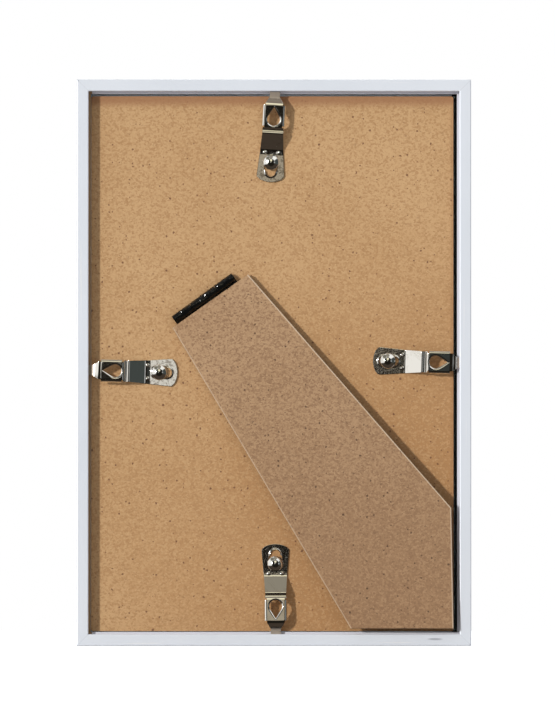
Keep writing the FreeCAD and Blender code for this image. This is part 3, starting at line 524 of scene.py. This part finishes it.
BOARD_BACK = BOARD_HIGH.y / MILLIMETRE
HEAD_RADIUS, HEAD_SEAT, HEAD_BRIM, DOME_RISE = 2.2, 0.75, 1.0, 0.95
PUNCH_RADIUS, PUNCH_WIDTH, PUNCH_DEPTH = 0.62, 0.10, 0.012
SHANK_RADIUS, FOOT_RADIUS, FOOT_UNDER, FOOT_OVER = 1.25, 2.0, -2.4, -1.9
EDGE = 0.1
nickel, nickel_tree, nickel_shader, nickel_spot = new_material("bright nickel plate, rivets", Metallic=1.0)
nickel_marks = place_group(nickel_tree, MARKS, Place=nickel_spot, Size=160.0)
nickel_tone = mix(nickel_tree, nickel_marks.outputs["Smudge"], (0.86, 0.85, 0.81, 1), (0.62, 0.59, 0.52, 1))
feed(nickel_tree, nickel_shader.inputs["Base Color"], nickel_tone)
feed(nickel_tree, nickel_shader.inputs["Roughness"],
     math_node(nickel_tree, "MULTIPLY_ADD", nickel_marks.outputs["Smudge"], 0.07, 0.045))
bump(nickel_tree, nickel_shader, noise(nickel_tree, nickel_spot, 900.0, 2.0, 0.5), 0.02 * MILLIMETRE)

# The profile of (radius, height over the board): foot, shank, rounded brim, and a dome that falls away
# as a power of its radius, less a bell curve for the punch's ring
dome_reach = np.linspace(2.12, 0.0, 24)
dome_height = HEAD_BRIM + DOME_RISE * (1 - (dome_reach / HEAD_RADIUS) ** 2.15)
dome_height = dome_height - PUNCH_DEPTH * np.exp(-((dome_reach - PUNCH_RADIUS) / PUNCH_WIDTH) ** 2)
brim_turn = np.linspace(0, np.pi / 2, 6)
brim = np.stack([HEAD_RADIUS - EDGE + EDGE * np.sin(brim_turn), HEAD_SEAT + EDGE - EDGE * np.cos(brim_turn)],
                axis=-1)
rivet_profile = np.concatenate([
    [(0.0, FOOT_UNDER), (FOOT_RADIUS - EDGE, FOOT_UNDER), (FOOT_RADIUS, FOOT_UNDER + EDGE),
     (FOOT_RADIUS, FOOT_OVER), (SHANK_RADIUS, FOOT_OVER), (SHANK_RADIUS, HEAD_SEAT),
     (HEAD_RADIUS - EDGE, HEAD_SEAT)],
    brim, [(HEAD_RADIUS, HEAD_BRIM - 0.05), (HEAD_RADIUS - 0.03, HEAD_BRIM)],
    np.stack([dome_reach, dome_height], axis=-1)])
rivet_places = {}
for side in ("top", "bottom", "left", "right"):
    low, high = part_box("rivet_" + side)
    middle = np.array([(low.x + high.x) / 2 / MILLIMETRE, BOARD_BACK, (low.z + high.z) / 2 / MILLIMETRE])
    rivet_places[side] = middle
    places, faces = turned(rivet_profile)
    piece = new_piece("rivet_head_" + side, smooth_mesh("rivet_head_" + side, places + middle, faces),
                      "rivet_" + side, nickel, "rivet_" + side)
    edge = piece.modifiers.new("sharp edges", "EDGE_SPLIT")
    edge.split_angle = math.radians(50)


# Clips
# Pressed from nickel-plated sheet, one to each side: a flat foot with a collared slot and two pips, a
# ramp up to a crest and valley, a raised plate with a teardrop hanging hole and rolled-down sides, and
# a slope down to the tongue that slides under the rim. Each is bent and worn a little differently.
SHEET = 0.4
SLOT_END, SLOT_HALF = 5.63, 1.4
PIPS = ((-1.85, 6.75), (1.85, 6.75))
RAMP_START, CREST, VALLEY, PLATE_START = 7.6, 12.2, 12.95, 13.75
PLATE_END, SLOPE_END, TONGUE_END = 20.3, 22.2, 24.6
FOOT_HEIGHT, CREST_HEIGHT, VALLEY_HEIGHT, PLATE_HEIGHT, TONGUE_HEIGHT = 0.25, 3.05, 2.55, 3.4, 2.75
RUNS = ((RAMP_START, FOOT_HEIGHT), (CREST, CREST_HEIGHT), (VALLEY, VALLEY_HEIGHT),
        (PLATE_START, PLATE_HEIGHT), (PLATE_END, PLATE_HEIGHT), (SLOPE_END, TONGUE_HEIGHT),
        (TONGUE_END, TONGUE_HEIGHT))
BENDS = (0.42, 0.30, 0.26, 0.30, 0.42, 0.35)


def run_height(along):
    """Height of the middle of the sheet over the board, along the clip. Straight runs join the given
    points, and at each bend the change of slope is eased in: nothing before the bend, the square of
    the way through it over four, and the full change after it."""
    points = np.array(RUNS)
    slopes = np.concatenate([[0.0], np.diff(points[:, 1]) / np.diff(points[:, 0])])
    height = np.full_like(along, points[0, 1])
    for (place, _), change, width in zip(points[:-1], np.diff(slopes), BENDS):
        way = (along - place) / width
        eased = np.where(way < -1, 0.0, np.where(way > 1, way, (way + 1) ** 2 / 4))
        height += change * width * eased
    return height


def slot_gap(across, along):
    """How far a point of the foot is from the edge of the slot: its distance from the slot's middle
    line less half the slot's width."""
    nearest = np.clip(along, SLOT_HALF, SLOT_END - SLOT_HALF)
    return np.hypot(across, along - nearest) - SLOT_HALF


def hole_reach(outline, centre, angle):
    """Distance from a centre to an outline in the given directions, read off the outline's own polar
    curve."""
    from_centre = outline - centre
    turn = np.arctan2(from_centre[:, 1], from_centre[:, 0])
    order = np.argsort(turn)
    return np.interp(angle, turn[order], np.hypot(*from_centre.T)[order], period=2 * np.pi)


def round_hole(border, outline, centre, rings, crowd):
    """A band between a hole's outline and a closed border. Each border point is joined to the centre,
    and the rings between are spaced by a power of the ring number, closest at the hole."""
    from_centre = border - centre
    angle = np.arctan2(from_centre[:, 1], from_centre[:, 0])
    outer = np.hypot(*from_centre.T)
    inner = hole_reach(outline, centre, angle)
    share = (np.linspace(0, 1, rings) ** crowd)[:, None]
    reach = inner + (outer - inner) * share
    flat = centre + reach[..., None] * np.stack([np.cos(angle), np.sin(angle)], axis=-1)
    flat[-1] = border
    return flat


def along_line(points, count):
    """The given number of points, evenly spaced along a line through the given ones."""
    points = np.asarray(points, float)
    steps = np.concatenate([[0], np.cumsum(np.hypot(*np.diff(points, axis=0).T))])
    even = np.linspace(0, steps[-1], count)
    return np.stack([np.interp(even, steps, column) for column in points.T], axis=-1)


COLUMNS = 49
ACROSS = np.linspace(-1, 1, COLUMNS)
RAMP_HALF, PLATE_HALF, CREST_HALF, TONGUE_HALF = 3.25, 2.5, 2.95, 1.43

# The foot: an edge that narrows from the tail to the ramp, with an arc for a tail and rounded corners
TAIL_RADIUS, TAIL_MIDDLE, TAIL_HALF = 6.6, 5.05, 3.05
tail_x = np.linspace(TAIL_HALF, -TAIL_HALF, 40)
tail = np.stack([tail_x, TAIL_MIDDLE - np.sqrt(TAIL_RADIUS ** 2 - tail_x ** 2)], axis=-1)
corner = np.array([(RAMP_HALF, RAMP_START), (3.85, 0.45), (3.84, 0.12), (3.72, -0.16), (3.45, -0.40),
                   (TAIL_HALF, -0.80)])
foot_side = np.concatenate([corner, tail[1:-1], (corner * (-1, 1))[::-1]])
foot_end = np.stack([ACROSS * RAMP_HALF, np.full(COLUMNS, RAMP_START)], axis=-1)
foot_border = np.concatenate([foot_end, along_line(foot_side, 150)[1:-1]])
turn = np.linspace(0, np.pi, 120)
slot_outline = np.concatenate([
    np.stack([SLOT_HALF * np.cos(turn), SLOT_END - SLOT_HALF + SLOT_HALF * np.sin(turn)], axis=-1),
    np.stack([-SLOT_HALF * np.cos(turn), SLOT_HALF - SLOT_HALF * np.sin(turn)], axis=-1)])
foot_flat = round_hole(foot_border, slot_outline, np.array([0.0, 2.8]), rings=26, crowd=1.35)

# The plate: a border between its two bends, round a teardrop with its point outwards
SKIRT_ROWS, SKIRT_EASE = 31, 0.35
skirt_along = np.linspace(PLATE_START + SKIRT_EASE, PLATE_END - SKIRT_EASE, SKIRT_ROWS)
plate_along = np.concatenate([[PLATE_START], skirt_along, [PLATE_END]])
plate_end = np.stack([ACROSS * PLATE_HALF, np.full(COLUMNS, PLATE_END)], axis=-1)
plate_start = np.stack([ACROSS[::-1] * PLATE_HALF, np.full(COLUMNS, PLATE_START)], axis=-1)
plate_right = np.stack([np.full(SKIRT_ROWS + 2, PLATE_HALF), plate_along[::-1]], axis=-1)
plate_left = np.stack([np.full(SKIRT_ROWS + 2, -PLATE_HALF), plate_along], axis=-1)
plate_border = np.concatenate([plate_end, plate_right[1:], plate_start[1:], plate_left[1:-1]])
TEAR_ROUND, TEAR_RADIUS, TEAR_POINT = 15.97, 1.92, 19.6
touch = math.acos(TEAR_RADIUS / (TEAR_POINT - TEAR_ROUND))
bow = np.linspace(math.pi / 2 + touch, 5 * math.pi / 2 - touch, 150)
tear_arc = np.stack([TEAR_RADIUS * np.cos(bow), TEAR_ROUND + TEAR_RADIUS * np.sin(bow)], axis=-1)
tear_side = along_line([tear_arc[-1], (0.0, TEAR_POINT)], 60)
tear_outline = np.concatenate([tear_arc, tear_side[1:], (tear_side * (-1, 1))[::-1][1:-1]])
plate_flat = round_hole(plate_border, tear_outline, np.array([0.0, 16.6]), rings=18, crowd=1.5)
plate_lip = np.hypot(*np.moveaxis(plate_flat - plate_flat[0], -1, 0))

# The strips between: ramp, crest, valley and rise; then slope and tongue
def strip(along, half):
    """A grid of rows across the clip, each as wide as the strip is there."""
    across = ACROSS * half[:, None]
    return np.stack([across, np.broadcast_to(along[:, None], across.shape)], axis=-1)


strip_along = np.concatenate([np.linspace(RAMP_START, 11.6, 18), np.linspace(11.7, 13.7, 34), [PLATE_START]])
strip_half = np.interp(strip_along, [RAMP_START, CREST, 13.7, PLATE_START],
                       [RAMP_HALF, CREST_HALF, CREST_HALF, PLATE_HALF])
strip_flat = strip(strip_along, strip_half)
tongue_along = np.concatenate([np.linspace(PLATE_END, 22.8, 26), np.linspace(22.9, TONGUE_END, 10)])
tongue_half = np.interp(tongue_along, [PLATE_END, 20.45, 22.1, 22.4, 24.2, TONGUE_END],
                        [PLATE_HALF, PLATE_HALF, 1.5, TONGUE_HALF, TONGUE_HALF, 1.3])
tongue_flat = strip(tongue_along, tongue_half)

# The rolled sides of the plate: a quarter turn and a short drop
ROLL_RADIUS = 0.55
roll = np.linspace(0, np.pi / 2, 10)
roll_out = PLATE_HALF + ROLL_RADIUS * np.concatenate([np.sin(roll), [1, 1]])
roll_drop = np.concatenate([ROLL_RADIUS * (1 - np.cos(roll)), [0.75, 0.95]])
COLLAR_WIDTH, COLLAR_RISE = 0.5, 0.17
PIP_RADIUS, PIP_RISE = 0.55, 0.30
LIP_WIDTH, LIP_DROP = 0.34, 0.16

# The tilts: the foot's fades out before the ramp, and the plate's over the rise and the slope
PLATE_MIDDLE, FOOT_FADE = 17.0, 1.5
PLATE_TILTS = ((13.4, 0.0), (13.9, 1.0), (PLATE_END, 1.0), (21.6, 0.0))


def clip_mesh(name, side, lean, set_back, foot_tilt, plate_tilt, plate_bow):
    """The clip's middle sheet. Height is the run's height, plus a collar that falls off as a squared
    cosine from the slot, plus two pips that rise as the square of one less the squared share of
    their radius, less a lip round the teardrop that turns down as the square of its nearness, plus
    tilts along and across: the foot about the rivet, the plate about its middle."""
    grids = []
    for flat, closed in ((foot_flat, True), (strip_flat, False), (plate_flat, True), (tongue_flat, False)):
        across, along = flat[..., 0], flat[..., 1]
        height = run_height(along)
        gap = np.clip(slot_gap(across, along) / COLLAR_WIDTH, 0, 1)
        height = height + COLLAR_RISE * np.cos(gap * np.pi / 2) ** 2
        for pip_across, pip_along in PIPS:
            apart = np.clip(np.hypot(across - pip_across, along - pip_along) / PIP_RADIUS, 0, 1)
            height = height + PIP_RISE * (1 - apart ** 2) ** 2
        if flat is plate_flat:
            height = height - LIP_DROP * np.clip(1 - plate_lip / LIP_WIDTH, 0, 1) ** 2
        grids.append((across, along, height, closed))
    for way in (-1, 1):
        across, along = np.broadcast_arrays(way * roll_out[:, None], skirt_along)
        grids.append((across, along, run_height(along) - roll_drop[:, None], False))
    places, faces, count = [], [], 0
    for across, along, height, closed in grids:
        foot_share = np.clip((RAMP_START - along) / FOOT_FADE, 0, 1)
        plate_share = np.interp(along, *np.transpose(PLATE_TILTS))
        foot_lift = np.tan(foot_tilt[0]) * (set_back - along) + np.tan(foot_tilt[1]) * across
        plate_lift = np.tan(plate_tilt[0]) * (PLATE_MIDDLE - along) + np.tan(plate_tilt[1]) * across
        plate_lift = plate_lift - plate_bow * (across / PLATE_HALF) ** 2
        height = height + foot_share * foot_lift + plate_share * plate_lift
        rows, columns = across.shape
        places.append(np.stack([across, along, height], axis=-1).reshape(-1, 3))
        faces.append(grid_faces(rows, columns, count, closed=closed))
        count += rows * columns
    across, along, height = np.concatenate(places).T
    out = along - set_back
    x = rivet_places[side][0] + out * math.sin(lean) + across * math.cos(lean)
    z = rivet_places[side][2] + out * math.cos(lean) - across * math.sin(lean)
    mesh = smooth_mesh(name, np.stack([x, BOARD_BACK + height, z], axis=-1), np.concatenate(faces))
    mesh.attributes.new("along", "FLOAT", "POINT").data.foreach_set("value", along.astype(np.float32))
    return mesh


plate_metal, plate_tree, plate_shader, plate_spot = new_material("bright nickel plate, clips", Metallic=1.0)
clip_marks = place_group(plate_tree, MARKS, Place=plate_spot, Size=210.0)
along_clip = add(plate_tree, "ShaderNodeAttribute", attribute_name="along").outputs["Fac"]
on_foot = band(plate_tree, along_clip, 7.75, 7.35)
on_tongue = band(plate_tree, along_clip, 21.3, 22.3)
clear_tone = mix(plate_tree, clip_marks.outputs["Smudge"], (0.84, 0.82, 0.77, 1), (0.62, 0.58, 0.50, 1))
dull_tone = mix(plate_tree, on_tongue, clear_tone, (0.50, 0.43, 0.37, 1))
worn = noise(plate_tree, plate_spot, 950.0, 3.0, 0.7)
worn_through = math_node(plate_tree, "MULTIPLY", band(plate_tree, worn, 0.50, 0.62), on_foot)
worn_through = math_node(plate_tree, "MULTIPLY", worn_through, 0.65)
feed(plate_tree, plate_shader.inputs["Base Color"],
     mix(plate_tree, worn_through, dull_tone, (0.24, 0.20, 0.16, 1)))
clip_rough = math_node(plate_tree, "MULTIPLY_ADD", clip_marks.outputs["Smudge"], 0.06, 0.045)
clip_rough = math_node(plate_tree, "MULTIPLY_ADD", on_tongue, 0.40, clip_rough)
clip_rough = math_node(plate_tree, "MULTIPLY_ADD", on_foot, 0.03, clip_rough)
feed(plate_tree, plate_shader.inputs["Roughness"], clip_rough)
wavy = noise(plate_tree, plate_spot, 300.0, 1.0, 0.5)
pitted = noise(plate_tree, plate_spot, 1500.0, 3.0, 0.6)
worn_foot = math_node(plate_tree, "MULTIPLY_ADD", on_foot, 1.15, 0.03)
pitted = math_node(plate_tree, "MULTIPLY", pitted, worn_foot)
bump(plate_tree, plate_shader, math_node(plate_tree, "MULTIPLY_ADD", pitted, 0.6, wavy), 0.02 * MILLIMETRE)

# Each clip's lean from upright in degrees, how far its slot's end stands back from its rivet in
# millimetres, the tilts of foot and plate along and across in degrees, and the plate's bow
DEGREE = math.pi / 180
CLIPS = {
    "top": (-3.2, 4.0, (1.6, 0.0), (-1.3, 0.0), 0.01),
    "bottom": (180.4, 4.0, (0.6, 0.0), (-2.9, 0.0), 0.01),
    "left": (-91.6, 2.6, (-0.3, 0.0), (2.1, 0.0), 0.01),
    "right": (88.3, 3.6, (2.1, 0.0), (0.4, -1.2), 0.01),
}
for side, (lean, set_back, foot_tilt, plate_tilt, plate_bow) in CLIPS.items():
    mesh = clip_mesh("clip_sheet_" + side, side, lean * DEGREE, set_back, [t * DEGREE for t in foot_tilt],
                     [t * DEGREE for t in plate_tilt], plate_bow)
    piece = new_piece("clip_sheet_" + side, mesh, "clip_" + side, plate_metal, "clip_" + side)
    wall = piece.modifiers.new("sheet thickness", "SOLIDIFY")
    wall.thickness = SHEET * MILLIMETRE
    wall.offset = 0.0
    cut = piece.modifiers.new("cut edges", "BEVEL")
    cut.width = 0.12 * MILLIMETRE
    cut.segments = 3
    cut.limit_method = "ANGLE"
    cut.angle_limit = math.radians(50)

# Hinge
# Two thin steel leaves, stove enamelled in gloss black. Their prongs are driven into the board and the
# strut, and their knuckles are rolled round a pin of blackened wire.
enamel, enamel_tree, enamel_shader, enamel_spot = new_material("gloss black enamel", Specular_IOR_Level=0.4)
enamel_marks = place_group(enamel_tree, MARKS, Place=enamel_spot, Size=240.0)
feed(enamel_tree, enamel_shader.inputs["Base Color"],
     mix(enamel_tree, enamel_marks.outputs["Smudge"], (0.004, 0.004, 0.004, 1), (0.010, 0.012, 0.010, 1)))
feed(enamel_tree, enamel_shader.inputs["Roughness"],
     math_node(enamel_tree, "MULTIPLY_ADD", enamel_marks.outputs["Smudge"], 0.10, 0.14))
bump(enamel_tree, enamel_shader, noise(enamel_tree, enamel_spot, 420.0, 1.0, 0.5), 0.9 * MILLIMETRE)
finish_node("hinge_board_leaf", enamel)
finish_node("hinge_strut_leaf", enamel)

pin_steel, pin_tree, pin_shader, pin_spot = new_material("blackened steel wire", Metallic=1.0)
pin_cloud = noise(pin_tree, pin_spot, 900.0, 3.0, 0.6)
feed(pin_tree, pin_shader.inputs["Base Color"],
     mix(pin_tree, pin_cloud, (0.03, 0.03, 0.03, 1), (0.07, 0.07, 0.065, 1)))
feed(pin_tree, pin_shader.inputs["Roughness"], band(pin_tree, pin_cloud, -0.5, 1.8))
finish_node("hinge_pin", pin_steel)

# Strut
# The leg is sawn from thinner, greyer hardboard with its rougher side out, and hangs from the hinge by
# its head. Its cut edges are paler than its face.
# The last three tones give a painted shade that darkens the leg towards its foot on the -X side.
leg_brown, leg_tree, leg_shader, leg_spot = hardboard(
    "greyer hardboard", Base=(0.337, 0.199, 0.101, 1), Pale=(0.438, 0.275, 0.150, 1),
    Deep=(0.235, 0.130, 0.066, 1), Bark=(0.085, 0.043, 0.022, 1), Bark_Share=1.0, Fibre_Share=0.6,
    Dash_Share=0.7, Damp=(0.290, 0.168, 0.085, 1), Damp_Middle=(-0.045, 0.005, -0.010), Damp_Reach=0.120)
leg_parts = parts_of(leg_tree, leg_spot)

# The leg's corners as (x, z), in metres
HEAD_CORNER, KNEE_CORNER, TOE_CORNER = (0.00730, 0.10418), (-0.04962, 0.03866), (-0.05020, 0.00490)
HEEL_CORNER, HINGE_CORNER = (-0.02150, 0.00490), (0.02840, 0.08930)


def arris_mask(first, second, share):
    """A mask along the straight line through two corners: the distance from a line is the cross
    product of the way along it and the way to it, over its length."""
    long_x, long_z = second[0] - first[0], second[1] - first[1]
    long_edge = math.hypot(long_x, long_z)
    apart = math_node(leg_tree, "MULTIPLY_ADD", leg_parts["X"], -long_z / long_edge,
                      (first[0] * long_z - first[1] * long_x) / long_edge)
    apart = math_node(leg_tree, "MULTIPLY_ADD", leg_parts["Z"], long_x / long_edge, apart)
    near = band(leg_tree, math_node(leg_tree, "ABSOLUTE", apart), 0.34 * MILLIMETRE, 0.16 * MILLIMETRE)
    return math_node(leg_tree, "MULTIPLY", near, share)


arris = math_node(leg_tree, "MAXIMUM", arris_mask(HEAD_CORNER, KNEE_CORNER, 0.7),
                  arris_mask(KNEE_CORNER, TOE_CORNER, 0.7))
arris = math_node(leg_tree, "MAXIMUM", arris, arris_mask(HEEL_CORNER, HINGE_CORNER, 0.35))
leg_tone = leg_shader.inputs["Base Color"].links[0].from_socket
leg_tone = mix(leg_tree, arris, leg_tone, (0.66, 0.52, 0.38, 1))
feed(leg_tree, leg_shader.inputs["Base Color"], leg_tone)
finish_node("strut_board", leg_brown)

# Floor
# A plain pale table top. It shows white to the camera and through glass, is left out of reflections, and
# keeps the shadow that the frame throws on it.
FLOOR_REACH = 6.0
floor_corners = np.array([[-1, -1, 0], [1, -1, 0], [1, 1, 0], [-1, 1, 0]]) * FLOOR_REACH
floor_mesh = bpy.data.meshes.new("floor")
floor_mesh.from_pydata(floor_corners.tolist(), [], [(0, 1, 2, 3)])
floor = bpy.data.objects.new("floor", floor_mesh)
bpy.context.scene.collection.objects.link(floor)
floor.visible_glossy = False
pale = bpy.data.materials.new("pale table top")
pale.use_nodes = True
pale_tree = pale.node_tree
pale_tree.nodes.clear()
paint = add(pale_tree, "ShaderNodeBsdfDiffuse")
paint.inputs["Color"].default_value = (0.82, 0.82, 0.82, 1)
glow = add(pale_tree, "ShaderNodeEmission")
glow.inputs["Strength"].default_value = 0.62
both = add(pale_tree, "ShaderNodeAddShader")
feed(pale_tree, both.inputs[0], paint.outputs[0])
feed(pale_tree, both.inputs[1], glow.outputs[0])
ray = add(pale_tree, "ShaderNodeLightPath")
seen = math_node(pale_tree, "MAXIMUM", ray.outputs["Is Camera Ray"], ray.outputs["Is Transmission Ray"])
choose = add(pale_tree, "ShaderNodeMixShader")
feed(pale_tree, choose.inputs[0], seen)
feed(pale_tree, choose.inputs[1], paint.outputs[0])
feed(pale_tree, choose.inputs[2], both.outputs[0])
feed(pale_tree, add(pale_tree, "ShaderNodeOutputMaterial").inputs["Surface"], choose.outputs[0])
floor_mesh.materials.append(pale)

# Light
# One small lamp on the photograph's left throws the shadows, a wide one lights the frame's front, and an
# even white studio fills the rest. Polished metal mirrors the studio, which is bright on the lamp's
# side, dark behind the camera and brown low down.
def sun(name, energy, spread, tone, tilt, turn):
    """A lamp at a great distance that shines straight down, then is tilted and turned by angles."""
    lamp = bpy.data.lights.new(name, "SUN")
    lamp.energy = energy
    lamp.angle = math.radians(spread)
    lamp.color = tone
    holder = bpy.data.objects.new(name, lamp)
    bpy.context.scene.collection.objects.link(holder)
    holder.rotation_euler = (tilt, 0.0, turn)


# The key lamp's height over the board's plane, and its turn in that plane up from the left
SUN_HEIGHT = math.radians(49.5)
SUN_TURN = math.atan2(3.0, 10.0)
to_sun = (math.cos(SUN_HEIGHT) * math.cos(SUN_TURN), math.sin(SUN_HEIGHT),
          math.cos(SUN_HEIGHT) * math.sin(SUN_TURN))
sun("key lamp", 2.42, 4.0, (1.0, 0.985, 0.96), math.acos(to_sun[2]),
    math.atan2(to_sun[1], to_sun[0]) + math.pi / 2)
sun("fill lamp", 1.1, 40.0, (1.0, 1.0, 1.0), math.radians(62), math.radians(-18))

studio = bpy.data.worlds.new("studio")
bpy.context.scene.world = studio
studio.use_nodes = True
studio.cycles.sampling_method = "NONE"
sky = studio.node_tree
sky.nodes.clear()
direction = add(sky, "ShaderNodeTexCoord").outputs["Generated"]


def card(toward, full, none):
    """A card in the studio: a mask that is full within an angle of a direction and gone past a second
    angle, both in degrees."""
    nearness = vector_math(sky, "DOT_PRODUCT", direction, np.array(toward) / np.linalg.norm(toward))
    return band(sky, nearness, math.cos(math.radians(none)), math.cos(math.radians(full)))


# What hangs in the studio, each over those before it: the way towards it, where it is full and gone,
# and its tone. The photograph's left is +X, and the camera is on the +Y side.
CARDS = {
    "dark wall on the right": ((-1.0, 0.35, -0.05), 30, 42, (0.060, 0.070, 0.068)),
    "grey cloth high on the left": ((0.50, 0.45, 0.74), 14, 22, (0.20, 0.19, 0.155)),
    "brown floor": ((0.0, 0.0, -1.0), 68.90, 79.63, (0.055, 0.042, 0.032)),
    "dark room behind the camera": ((0.0, 1.0, 0.0), 40, 46, (0.014, 0.012, 0.009)),
    "white card on the left": ((0.76, 0.65, 0.0), 15, 19, (0.97, 0.96, 0.94)),
    "grey card on the right": ((-0.62, 0.785, 0.02), 6, 10, (0.46, 0.47, 0.48)),
    "brown cloth above": ((0.0, 0.77, 0.64), 9, 14, (0.24, 0.20, 0.17)),
    "brown ceiling": ((0.0, 0.42, 0.91), 14, 20, (0.29, 0.265, 0.215)),
    "white card high on the right": ((-0.57, 0.41, 0.71), 13, 18, (1.0, 1.0, 0.98)),
    "yellow card over the camera": ((0.0, 0.93, 0.37), 10, 13, (1.0, 0.94, 0.70)),
    "camera's hood": ((0.0, 0.9945, 0.105), 2.4, 4.4, (0.40, 0.35, 0.27)),
    "pale card left of the camera": ((0.082, 0.9964, 0.02), 2.2, 3.8, (0.80, 0.78, 0.73)),
    "dark card right of the camera": ((-0.096, 0.9954, 0.02), 2.0, 3.6, (0.040, 0.044, 0.042)),
}
mirrored = (0.95, 0.95, 0.94, 1)
for toward, full, none, tone in CARDS.values():
    mirrored = mix(sky, card(toward, full, none), mirrored, (*tone, 1))
light_path = add(sky, "ShaderNodeLightPath")
white_seen = math_node(sky, "MAXIMUM", light_path.outputs["Is Camera Ray"],
                       light_path.outputs["Is Transmission Ray"])
even = mix(sky, light_path.outputs["Is Glossy Ray"], (0.49, 0.50, 0.52, 1), mirrored)
shown = mix(sky, white_seen, even, (1.0, 1.0, 1.0, 1))
air = add(sky, "ShaderNodeBackground")
feed(sky, air.inputs["Color"], shown)
feed(sky, add(sky, "ShaderNodeOutputWorld").inputs["Surface"], air.outputs[0])

# Camera
# Behind the frame, almost square to it, a little to the photograph's left and a little below, with
# a long lens. The lens takes in the photograph's height at the frame's rim.
PIXEL = 0.2806 * MILLIMETRE
PHOTO_WIDE, PHOTO_HIGH = 555, 724
MIDDLE_X_PIXEL, FOOT_Z_PIXEL = 274.05, 645.8
CAMERA_REACH = 2.9
CAMERA_LEFT = math.radians(0.6)
CAMERA_BELOW = math.radians(1.45)
aim = np.array([(MIDDLE_X_PIXEL - PHOTO_WIDE / 2) * PIXEL, RIM_FACE, (FOOT_Z_PIXEL - PHOTO_HIGH / 2) * PIXEL])
level = math.cos(CAMERA_BELOW)
back = np.array([math.sin(CAMERA_LEFT) * level, math.cos(CAMERA_LEFT) * level, -math.sin(CAMERA_BELOW)])
eye = aim + back * CAMERA_REACH
lens = bpy.data.cameras.new("camera")
lens.sensor_width = 36.0
lens.lens = lens.sensor_width * CAMERA_REACH / (PHOTO_HIGH * PIXEL)
lens.clip_start = 0.1
lens.clip_end = 30.0
camera = bpy.data.objects.new("camera", lens)
bpy.context.scene.collection.objects.link(camera)
camera.location = eye
camera.rotation_euler = (math.pi / 2 + CAMERA_BELOW, 0.0, math.pi - CAMERA_LEFT)
bpy.context.scene.camera = camera
bpy.context.scene.view_settings.view_transform = "Standard"
